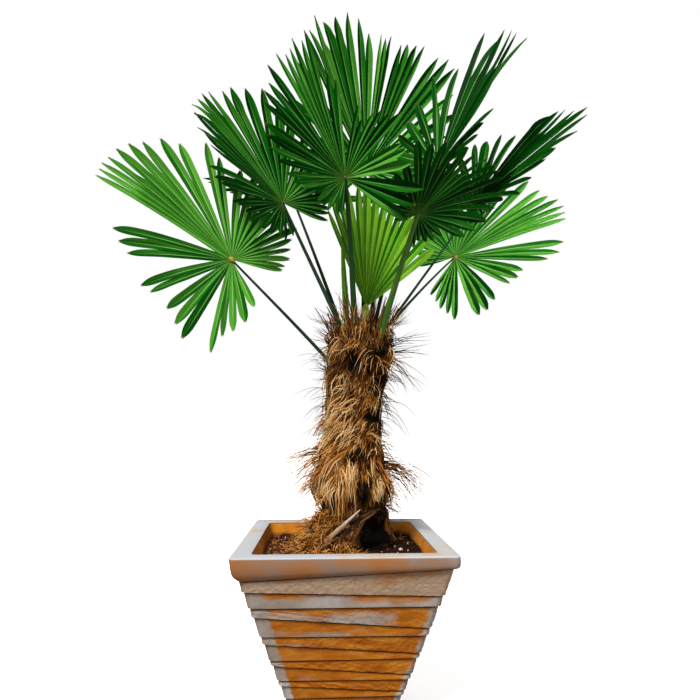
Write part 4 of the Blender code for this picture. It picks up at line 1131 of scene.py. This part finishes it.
def zone_fibres(soup, zone, draw):
    """The tufts of one zone: each one's fibres share a root, a direction and a tone."""
    number = np.arange(zone.tufts)
    height = between((zone.low, zone.high), (number + draw.uniform(0.1, 0.9, zone.tufts)) / zone.tufts)
    middle, half = np.radians(zone.facing)
    angle = middle + half * ((GOLDEN_ANGLE / math.pi * number) % 2 - 1) + draw.normal(size=zone.tufts) * 0.2
    way = unit(fibre_ways(angle, zone.way) + draw.normal(size=(zone.tufts, 3)) * 0.2)
    # Painted shade: tufts on the right side, away from the light, are darker.
    tone = draw.uniform(*zone.tones, zone.tufts) - zone.shade * smooth(0.05, 0.6, np.cos(angle))
    length = draw.uniform(*zone.lengths, zone.tufts)
    pick = np.repeat(number[hollow(angle, height) < 0.3], zone.fibres)
    many = len(pick)
    spot_angle = angle[pick] + draw.normal(size=many) * 0.1
    spot_height = height[pick] + draw.normal(size=many) * 0.007
    ways = way[pick] + draw.normal(size=(many, 3)) * zone.spread * 0.5
    lengths = length[pick] * draw.uniform(0.55, 1.15, many) * (1 - 0.5 * hollow(angle[pick], HOLLOW_FLOOR))
    droop = zone.droop * draw.uniform(0.6, 1.4, (many, 1))
    path = grown(fibre_roots(spot_angle, spot_height), ways, lengths, droop, draw, wander=zone.curl)
    clearance = draw.uniform(0.0005, zone.stand, (many, 1)) * np.linspace(0.2, 1, FIBRE_NODES)
    path = kept_near(path, clearance, zone.stand + 0.003)
    patch = 0.42 * wave_noise(path[:, 0], 0.07, zone.tufts, 2)
    # Painted shade: fibres rooted in the gaps between old leaf bases are darker.
    dark = 0.7 * gap_shade(spot_angle, spot_height)
    tones = np.clip(tone[pick] + patch - dark + draw.normal(size=many) * 0.22, 0, 1)
    add_fibres(soup, path, FIBRE_RADIUS * zone.thick * draw.uniform(0.5, 1.4, many), tones, draw)


def clump_hairs(soup, clump, draw):
    """One clump's long hairs, each a little off the others."""
    many = clump.hairs
    angle = math.radians(clump.bearing) + draw.normal(size=many) * 0.12
    height = clump.height + draw.normal(size=many) * 0.01
    ways = fibre_ways(angle, clump.way) + draw.normal(size=(many, 3)) * 0.16
    lengths = clump.length * draw.uniform(0.55, 1.05, many)
    droop = clump.droop * draw.uniform(0.6, 1.3, (many, 1))
    path = grown(fibre_roots(angle, height), ways, lengths, droop, draw, wander=0.06)
    radii = FIBRE_RADIUS * draw.uniform(0.7, 1.2, many)
    add_fibres(soup, path, radii, draw.uniform(*clump.tones, many), draw)


def make_fibres(name, zones, clumps, seed, material):
    """The tufts and the long hairs of one stretch of the trunk."""
    soup = Soup()
    draw = np.random.default_rng(seed)
    for zone in zones:
        zone_fibres(soup, zone, draw)
    for clump in clumps:
        clump_hairs(soup, Clump(*clump), draw)
    return soup.object(name, material)


def add_slab(soup, base, way, face, length, widths, thickness, tones, rows=7):
    """A flat strip that tapers from base along way: an old leaf base or its stub."""
    way = unit(way)
    side = unit(np.cross(way, face))
    up = np.cross(side, way)
    share = np.linspace(0, 1, rows)[:, None, None]
    section = turns(8)[:, None]
    half = np.interp(share, np.linspace(0, 1, len(widths)), widths)
    middle = np.asarray(base) + way * length * share + up * (0.06 * length * share * share)
    thick = thickness * (1 - 0.6 * share)
    points = middle + side * half * np.cos(section) + up * thick * np.sin(section)
    soup.add_tube(points, (between(tones, share[..., 0]), share[..., 0]))
    # Three faces close the eight-sided end.
    soup.add(points[-1], [(7, 6, 5, 4), (7, 4, 3, 0), (0, 3, 2, 1)], (tones[1], 1))


def make_stubs(draw):
    """Old leaf bases: a spiral of cut stubs up the trunk, pointed ones in the crown, and split ones that
    lean against the trunk low at the front."""
    soup = Soup()
    for number in range(STUB_COUNT):
        share = number / (STUB_COUNT - 1)
        z = between(STUB_HEIGHTS, share)
        out = bearing(GOLDEN_ANGLE * number)
        base = trunk_centre(z) + out * (trunk_radius(z) - STUB_SINK)
        width = between(STUB_HALF_WIDTHS, share)
        add_slab(soup, base, out * 0.2 + (0, 0, 1), out, between(STUB_LENGTHS, share),
                 (width, width * 0.6, width * 0.3), 0.006, (0.1, draw.uniform(0.1, 0.3)))
    for number in range(CROWN_STUB_COUNT):
        out = bearing(GOLDEN_ANGLE * number + draw.uniform(-0.2, 0.2))
        z = draw.uniform(*CROWN_STUB_HEIGHTS)
        base = trunk_centre(z) + out * (trunk_radius(z) * draw.uniform(0.55, 0.85))
        width = draw.uniform(*CROWN_STUB_HALF_WIDTHS)
        way = out * draw.uniform(0.1, 0.55) + (0, 0, 1) + draw.normal(size=3) * 0.08
        add_slab(soup, base, way, out, draw.uniform(*CROWN_STUB_LENGTHS), (width, width * 0.6, width * 0.12),
                 0.0025, (draw.uniform(0.1, 0.55), draw.uniform(0, 0.6)))
    for base, way, length, half, tones in SPLIT_BASES:
        widths = (half, half * 0.9, half * 0.55, half * 0.2)
        add_slab(soup, base, way, (0.2, -1, 0.25), length, widths, 0.003, tones)
    return soup.object("leaf_stubs", stub_material())


# Soil


def soil_height(x, y):
    """The soil's surface: a swell at the trunk and low lumps round it."""
    middle = trunk_centre(SOIL_TOP)
    away = np.hypot(x - middle[0], y - middle[1])
    swell = SOIL_SWELL * (np.maximum(0, 1 - away / cavity_half_width(SOIL_TOP)) ** 0.7 - 0.9)
    coarse, fine = SOIL_LUMPS
    lumps = coarse * np.sin(61 * x + 1.3) * np.cos(53 * y - 0.4) + fine * np.sin(97 * x - 71 * y)
    return SOIL_TOP + swell + lumps * np.clip((away - LUMPS_START) / (LUMPS_FULL - LUMPS_START), 0, 1)


def make_soil():
    """The soil that fills the pot, with a crumbly surface."""
    half = cavity_half_width(SOIL_TOP) - SOIL_GAP
    lines = np.linspace(-half, half, SOIL_STEPS)
    x, y = np.meshgrid(lines, lines, indexing="ij")
    flat = np.stack([x, y, soil_height(x, y)], axis=-1).reshape(-1, 3)
    coarse, fine = SOIL_SEEDS
    crumbs = wave_noise(flat, 0.012, coarse) + 0.6 * np.abs(wave_noise(flat, 0.006, fine, 2))
    flat[:, 2] += SOIL_CRUMB * crumbs
    soup = Soup()
    soup.add(flat, grid_faces(SOIL_STEPS, SOIL_STEPS))
    soil = soup.object("soil_surface", soil_material())
    with edited(soil.data) as bm:
        rim = [e for e in bm.edges if e.is_boundary]
        # A skirt follows the pot's inside down to its floor.
        for depth in (SOIL_TOP - 0.02, FLOOR_THICKNESS + SOIL_GAP):
            made = bmesh.ops.extrude_edge_only(bm, edges=rim)["geom"]
            narrow = cavity_half_width(depth) - 2 * SOIL_GAP
            for vert in (v for v in made if isinstance(v, bmesh.types.BMVert)):
                vert.co.x *= narrow / max(abs(vert.co.x), abs(vert.co.y))
                vert.co.y *= narrow / max(abs(vert.co.x), abs(vert.co.y), narrow)
                vert.co.z = depth
            rim = [e for e in made if isinstance(e, bmesh.types.BMEdge)]
        close_holes(bm)
    return soil


def make_grit(draw):
    """Loose crumbs of bark, grit and white mineral on the soil."""
    bm = bmesh.new()
    bmesh.ops.create_icosphere(bm, subdivisions=1, radius=1)
    ball = np.array([v.co[:] for v in bm.verts])
    faces = np.array([[v.index for v in f.verts] for f in bm.faces])
    bm.free()
    half = cavity_half_width(SOIL_TOP) - GRIT_WALL_GAP
    spots = draw.uniform(-half, half, (GRIT_COUNT, 2))
    away = np.linalg.norm(spots - trunk_centre(SOIL_TOP)[:2], axis=1)
    spots = spots[away > GRIT_TRUNK_GAP]
    count = len(spots)
    size = draw.uniform(*GRIT_SIZES, count) * np.where(draw.random(count) < 0.12, 1.5, 1)
    height = soil_height(*spots.T) + size * 0.4 + draw.uniform(0, 0.0016, count)
    centre = np.concatenate([spots, height[:, None]], axis=1)
    shape = ball * (1 + draw.normal(size=(count, len(ball), 1)) * 0.16)
    shape = shape * draw.uniform(0.5, 1.35, (count, 1, 3)) * size[:, None, None]
    tone = draw.random(count)
    # Painted shade: grit at the right is darkened, but for the white crumbs.
    right_shade = (spots[:, 0] > SHADE_FROM) & (tone < WHITE_TONE)
    tone = np.where(right_shade, tone * 0.3, tone)
    soup = Soup()
    soup.add(centre[:, None] + shape, copied_faces(faces, count, len(ball)), (tone[:, None], 0))
    grit = soup.object("soil_grit", grit_material())
    grit.data.shade_flat()
    return grit


def make_litter(draw):
    """Shed fibres on the soil: a thick heap at the left of the trunk's foot, and a few round the rest,
    but for the dark right side."""
    soup = Soup()
    count = LITTER_COUNT
    heap = draw.random(count) < HEAP_SHARE
    angle = np.where(heap, draw.normal(HEAP_BEARING, HEAP_ROUND, count), draw.uniform(0.3, 4.9, count))
    away = np.where(heap, HEAP_START + np.abs(draw.normal(0, HEAP_OUT, count)),
                    draw.uniform(0.09, 0.15, count))
    spot = trunk_centre(SOIL_TOP) + bearing(angle) * away[:, None]
    mound = HEAP_HEIGHT * smooth(0.172, 0.112, away) * np.exp(-((angle - HEAP_BEARING) / 0.65) ** 2)
    mound = np.where(heap, mound, 0.006)
    spot[:, 2] = soil_height(spot[:, 0], spot[:, 1]) + draw.random(count) ** 0.8 * mound + 0.001
    way = bearing(angle + draw.normal(size=count) * 1.1) + (0, 0, -0.25)
    path = grown(spot, way, draw.uniform(*LITTER_LENGTHS, count), 0.2, draw, 6, 0.34)
    path = path - (path[:, 2:3] - path[:, :1]) * 0.6
    limit = cavity_half_width(SOIL_TOP) - 0.003
    path[..., :2] = np.clip(path[..., :2], -limit, limit)
    path[..., 2] = np.maximum(path[..., 2], soil_height(path[..., 0], path[..., 1]) + 0.001)
    tones = np.clip(draw.normal(0.52, 0.3, count), 0, 1)
    add_fibres(soup, path, FIBRE_RADIUS * draw.uniform(0.5, 1.3, count), tones, draw)
    return soup.object("fibre_litter", fibre_material("shed_fibre", (0.88, 0.52, 0.19)))


# Fronds


class Fan:
    """The bent, folded surface that a frond's blade lies on."""

    def __init__(self, frond):
        self.frond = frond
        self.hub = np.array(frond.hub)
        self.along = unit(frond.axis)
        face = np.array(frond.face, float)
        self.face = unit(face - self.along * face.dot(self.along))
        self.side = unit(np.cross(self.face, self.along))

    def point(self, phi, reach, lift=0):
        """The place at angle phi from the middle leaflet, at this distance from the hub."""
        frond = self.frond
        phi, reach, lift = (part[..., None] for part in np.broadcast_arrays(phi, reach, lift))
        fold = math.radians(frond.fold)
        rise = np.sqrt(np.sin(phi) ** 2 + FOLD_EASE) - math.sqrt(FOLD_EASE)
        way = (self.along * np.cos(phi) + self.side * np.sin(phi) * math.cos(fold)
               + self.face * math.sin(fold) * rise)
        share = reach / frond.length
        out = self.face * (lift - frond.arch * frond.length * share ** 2)
        return self.hub + way * reach + out - (0, 0, 1) * (frond.sag * frond.length * share ** 3)


class Leaflet(NamedTuple):
    phi: float
    length: float
    joined: float
    finger: int
    tone: float


def leaflets_of(frond):
    """The leaflets of each finger in turn, from the right margin of the blade to the left one."""
    draw = random.Random(frond.name)
    made = []
    for number, finger in enumerate(Finger(*row) for row in frond.fingers):
        for i in range(finger.leaflets):
            t = i / max(1, finger.leaflets - 1)
            share = between((finger.first_length, finger.last_length), t)
            made.append(Leaflet(math.radians(between((finger.first, finger.last), t)),
                                frond.length * share * draw.uniform(*LENGTH_DRAW), finger.joined, number,
                                frond.tone + finger.light))
    return made


def cuts_of(frond, leaflets):
    """The angle and the depth of each cut, with the blade's two margins first and last."""
    draw = random.Random(frond.name + "_cuts")
    first, last = leaflets[0], leaflets[-1]
    cuts = [(1.5 * first.phi - 0.5 * leaflets[1].phi, first.length * MARGIN)]
    for a, b in zip(leaflets, leaflets[1:]):
        depth = frond.length * WEB
        if a.finger == b.finger or b.phi - a.phi < TOUCHING:
            depth = frond.close * a.joined * min(a.length, b.length) * draw.uniform(*CUT_DRAW)
        cuts.append((0.5 * (a.phi + b.phi), depth))
    cuts.append((1.5 * last.phi - 0.5 * leaflets[-2].phi, last.length * MARGIN))
    return cuts


def shoulder(leaf, depth):
    """How far out a leaflet is widest: a share of its length or of its free part, past the cut."""
    return max(leaf.length * SHOULDER, between((depth, leaf.length), SHOULDER_OUT))


def half_width(reach, leaf, angle, depth, widest, blunt):
    """Half a leaflet's width on one side: angle is from its rib to the cut, and depth is the cut's."""
    far = shoulder(leaf, depth)
    start = angle * depth
    t = np.clip((reach - depth) / (far - depth), 0, 1)
    free = start + (widest - start) * np.sin(t * math.pi / 2) ** 0.85
    u = np.clip((reach - far) / (leaf.length - far), 0, 1)
    free = np.maximum(free * (1 - u ** (TIP_POWER + 2.2 * blunt)), TIP_HALF_WIDTH * (1 + 1.5 * blunt))
    return np.where(reach <= depth, angle * reach, free)


def add_leaflet(soup, fan, leaf, cuts, lie, look):
    """One leaflet as a gutter of rows from the hub out, and columns from its right edge to its left.
    lie is its swing and lift at the tip, and look its roll and its tone."""
    frond = fan.frond
    angles = [abs(phi - leaf.phi) for phi, _ in cuts]
    depths = [depth for _, depth in cuts]
    swing, lift = lie
    roll, tone = look
    reach = np.arange(ROW_STEP, leaf.length - 0.4 * ROW_STEP, ROW_STEP)
    reach = np.concatenate([[0.003], reach, [leaf.length]])[:, None]
    out = shoulder(leaf, sum(depths) / 2)
    widest = min(LEAFLET_HALF_WIDTH, LEAFLET_FILL * frond.close * 2 * min(angles) * out)
    free = np.clip((reach - max(depths)) / (leaf.length - max(depths)), 0, 1)
    loose = smooth(0, 0.35, free)
    columns = np.array(COLUMNS)
    away = np.abs(columns)
    right, left = (half_width(reach, leaf, angle, depth, widest, frond.blunt)
                   for angle, depth in zip(angles, depths))
    half = np.where(columns < 0, right, left)
    cut = np.where(columns < 0, *depths)
    parted = smooth(0, 0.3, (reach - cut) / (leaf.length - cut))
    depth = (1 - parted) * PLEAT_RISE * reach + parted * 0.5 * GUTTER * half
    middle = (1 - loose) * PLEAT_RISE * reach + loose * 0.25 * GUTTER * (right + left)
    bulge = 0.04 * half * (1 - np.abs(2 * away - 1)) * loose
    offset = columns * half
    height = (depth + middle) * away - middle + bulge + math.tan(roll) * offset * loose + lift * free ** 2
    nicked = reach * np.ones(len(COLUMNS))
    nicked[-1] = leaf.length - 0.006 * (1 - away)
    points = fan.point(leaf.phi + swing * free + offset / reach, nicked, height)
    faces = grid_faces(len(reach), len(COLUMNS))[:, ::-1]
    soup.add(points, faces, (columns, nicked), (tone, nicked / leaf.length))


def petiole_path(fan, points):
    """From the socket in the crown straight out, then in a shallow arc to the hub."""
    azimuth, away, height = fan.frond.root
    root = trunk_centre(height) + bearing(math.radians(azimuth)) * away
    span = np.linalg.norm(fan.hub - root)
    straight = (fan.hub - root) / span
    arriving = unit(straight + fan.along * PETIOLE_ARRIVE_ALONG + fan.face * PETIOLE_ARRIVE_FACE)
    leave = root + unit(straight + (0, 0, PETIOLE_LEAVE_UP)) * span * PETIOLE_HANDLES[0]
    arrive = fan.hub - arriving * span * PETIOLE_HANDLES[1]
    t = np.linspace(0, 1, points)[:, None]
    back = 1 - t
    return root * back ** 3 + leave * 3 * t * back ** 2 + arrive * 3 * t * t * back + fan.hub * t ** 3


def add_petiole(soup, fan, slot):
    """The stalk: rounded below, flatter above, and thicker towards the crown."""
    path = petiole_path(fan, PETIOLE_ROWS)
    tangent = unit(np.gradient(path, axis=0))
    up = unit(fan.face - tangent * (tangent @ fan.face)[:, None])
    side = np.cross(tangent, up)
    share = np.linspace(0, 1, PETIOLE_ROWS)[:, None]
    radius = (fan.frond.stalk * between(PETIOLE_RADII, share))[..., None]
    turn = turns(PETIOLE_SIDES)
    lower = np.where(np.sin(turn) > 0, 0.45, 0.95) * np.sin(turn)
    points = (path[:, None] + side[:, None] * radius * (np.cos(turn) * 1.05)[:, None]
              + up[:, None] * radius * lower[:, None])
    soup.add_tube(points, (turn, share), (fan.frond.stalk_tone, share), slot)


def add_crest(soup, fan, slot, looks):
    """The small crest on the hub's upper side, where the petiole ends."""
    tilt = np.linspace(0.05, math.pi - 0.05, CREST_ROWS)[:, None, None]
    turn = turns(CREST_SIDES)[:, None]
    length, width, height = np.array(CREST_SIZE) * min(0.1 + 1.9 * fan.frond.tone, 1.4)
    points = (fan.hub + fan.face * 0.001 + fan.along * (length * np.cos(tilt))
              + fan.side * (width * np.sin(tilt) * np.cos(turn))
              + fan.face * (height * np.sin(tilt) * np.sin(turn)))
    soup.add_tube(points, (0, 0), looks, slot)


def add_threads(soup, fan, draw, slot):
    """A few shed threads that hang from the blade near its hub."""
    phi = draw.uniform(-2.2, 2.2, THREADS)
    root = fan.point(phi, draw.uniform(0.01, 0.1, THREADS), 0.002)
    way = fan.face + draw.normal(size=(THREADS, 3)) * 0.5
    path = grown(root, way, draw.uniform(0.03, 0.1, THREADS), 2.6, draw, 8, 0.1)
    tones = draw.uniform(0, 0.4, THREADS)
    add_fibres(soup, path, np.full(THREADS, THREAD_RADIUS), tones, draw, slot)


def make_frond(frond, materials):
    """The pleated blade with its petiole, crest and threads."""
    fan = Fan(frond)
    leaflets = leaflets_of(frond)
    cuts = cuts_of(frond, leaflets)
    lie = random.Random(frond.name + "_lie")
    look = random.Random(frond.name + "_look")
    blade = Soup()
    for leaf, right, left in zip(leaflets, cuts, cuts[1:]):
        gap = 2 * min(leaf.phi - right[0], left[0] - leaf.phi)
        lies = (lie.uniform(*SWING_DRAW) * gap, lie.uniform(*LIFT_DRAW) * frond.length)
        looks = (look.gauss(*ROLL_DRAW), look.gauss(leaf.tone, TONE_DRAW))
        add_leaflet(blade, fan, leaf, (right, left), lies, looks)
    made = blade.object(frond.name + "_fine", *materials)
    with edited(made.data) as bm:
        bmesh.ops.remove_doubles(bm, verts=bm.verts, dist=LEAF_WELD)
    thick = made.modifiers.new("thickness", "SOLIDIFY")
    thick.thickness = LEAF_THICKNESS
    thick.offset = 0
    apply_modifiers(made)
    stalk = Soup()
    add_petiole(stalk, fan, 1)
    # A young leaf's hub is as green as its stalk.
    slot, looks = (1, (frond.stalk_tone, 1)) if frond.name == YOUNG else (2, (frond.tone, 0))
    add_crest(stalk, fan, slot, looks)
    add_threads(stalk, fan, np.random.default_rng(len(leaflets) + int(1000 * frond.hub[0]) + 1000), 3)
    with edited(made.data) as bm:
        bm.from_mesh(stalk.mesh("stalk"))
    made.data.set_sharp_from_angle(angle=LEAF_CREASE)
    return made


def make_spear(material):
    """The closed leaf: a slim pleated spindle."""
    foot, tip = np.array(SPEAR_FOOT), np.array(SPEAR_TIP)
    share = np.linspace(0, 1, SPEAR_ROWS)[:, None, None]
    turn = turns(SPEAR_SIDES)[:, None]
    width = np.interp(share, *zip(*SPEAR_WIDTHS)) * SPEAR_RADIUS * (1 + 0.1 * np.cos(6 * turn))
    way = unit(tip - foot)
    side = unit(np.cross(way, (0, 1, 0)))
    around = side * np.cos(turn) + np.cross(side, way) * np.sin(turn)
    points = foot + (tip - foot) * share + around * width
    along = share[..., 0]
    soup = Soup()
    soup.add_tube(points, (np.cos(3 * turn[:, 0]), 0.1 + 0.3 * along), (0.8, along))
    return soup.object("spear_fine", material)


# Stage


def make_floor():
    """A matt floor that looks near white, and throws less light back up at the plant than it shows."""
    s = Shader("studio_white")
    s.set(Emission_Color=WHITE, Emission_Strength=FLOOR_GLOW)
    s.show_to_camera(s.shaded, s.node("ShaderNodeBsdfDiffuse", {"Color": [FLOOR_BOUNCE] * 3}))
    floor = placed("studio_floor", bpy.data.meshes.new("studio_floor"))
    with edited(floor.data) as bm:
        bmesh.ops.create_grid(bm, x_segments=1, y_segments=1, size=FLOOR_HALF_WIDTH)
    floor.data.materials.append(s.finish((0.9, 0.9, 0.9), 0.9, None, 0))


def lamp(kind, name, place, target, energy, **settings):
    data = bpy.data.lights.new(name, kind)
    data.energy = energy
    for key, value in settings.items():
        setattr(data, key, value)
    placed(name, data, place, target)


def light_scene():
    """Soft studio light: a wide sun from high at the front left, weak lamps at the right and behind, a
    lamp on the low right frond, which the others shade, and a pale surround."""
    flat = math.cos(SUN_HEIGHT)
    sun = (-math.sin(SUN_AZIMUTH) * flat, -math.cos(SUN_AZIMUTH) * flat, math.sin(SUN_HEIGHT))
    lamp("SUN", "key", sun, (0, 0, 0), SUN_STRENGTH, angle=SUN_SOFTNESS, color=(1, 0.98, 0.94))
    lamp("AREA", "fill", (2.8, -2.2, 1.6), (0, 0, 0.8), 25, shape="DISK", size=2.2, color=(0.92, 0.96, 1))
    lamp("AREA", "back", (-1.2, 3.4, 1.9), (0, 0, 0.9), 22, shape="DISK", size=2.2, color=(0.95, 0.98, 1))
    lamp("SPOT", "right_low", (1.7, -1.3, 0.85), (0.52, 0.18, 1.23), 150, spot_size=math.radians(26),
         spot_blend=0.7, shadow_soft_size=0.15)
    world = bpy.data.worlds.new("studio")
    world.use_nodes = True
    bpy.context.scene.world = world
    nodes = Nodes(world.node_tree)
    background = world.node_tree.nodes["Background"]
    nodes.put(background.inputs["Color"], WHITE)
    nodes.put(background.inputs["Strength"], SKY_STRENGTH)
    shown = nodes.node("ShaderNodeBackground", {"Color": WHITE})
    nodes.show_to_camera(shown, Value(nodes, background.outputs[0]))


def make_camera():
    data = bpy.data.cameras.new("camera")
    data.lens = CAMERA_LENS
    data.sensor_width = 36
    camera = placed("camera", data, CAMERA_PLACE)
    camera.rotation_euler = (CAMERA_TILT, 0, CAMERA_TURN)
    bpy.context.scene.camera = camera


def seat(piece, node=None):
    """Fixes a piece to the plant's one body, and hides the imported part that it stands for."""
    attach(piece, "root")
    if node:
        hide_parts(node)


def main():
    make_camera()
    make_floor()
    light_scene()
    bpy.context.scene.view_settings.view_transform = "Standard"
    fibre = fibre_material()
    seat(make_pot(), "pot")
    seat(make_soil(), "soil")
    seat(make_grit(np.random.default_rng(SEED)))
    seat(make_litter(np.random.default_rng(SEED + 1)))
    seat(make_core(), "trunk")
    seat(make_fibres("fibre_high", ZONES_HIGH, CLUMPS_HIGH, SEED + 2, fibre))
    seat(make_fibres("fibre_middle", ZONES_MIDDLE, CLUMPS_MIDDLE, SEED + 5, fibre))
    seat(make_fibres("fibre_low", ZONES_LOW, CLUMPS_LOW, SEED + 3, fibre))
    seat(make_stubs(np.random.default_rng(SEED + 4)))
    leaf = leaf_material("palm_leaf", (0.0002, 0.02, 0.0012), (0.004, 0.138, 0.004), (0.145, 0.51, 0.05),
                         (0.4, 0.8, 0.24))
    young = leaf_material("young_palm_leaf", (0.001, 0.07, 0.001), (0.014, 0.2, 0.003),
                          (0.19, 0.46, 0.026), (0.5, 0.7, 0.11))
    others = (petiole_material(), crest_material(), fibre)
    for frond in FRONDS:
        blade, slot = (young, "young_leaf") if frond.name == YOUNG else (leaf, "leaf")
        seat(make_frond(frond, (blade, *others)), frond.name)
    seat(make_spear(young), "spear")


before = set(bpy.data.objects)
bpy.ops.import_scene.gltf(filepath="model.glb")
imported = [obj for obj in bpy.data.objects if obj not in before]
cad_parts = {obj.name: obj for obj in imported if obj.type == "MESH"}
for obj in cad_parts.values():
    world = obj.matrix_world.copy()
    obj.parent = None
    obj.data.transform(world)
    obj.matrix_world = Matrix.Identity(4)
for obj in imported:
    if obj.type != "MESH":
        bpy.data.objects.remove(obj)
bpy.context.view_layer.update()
main()
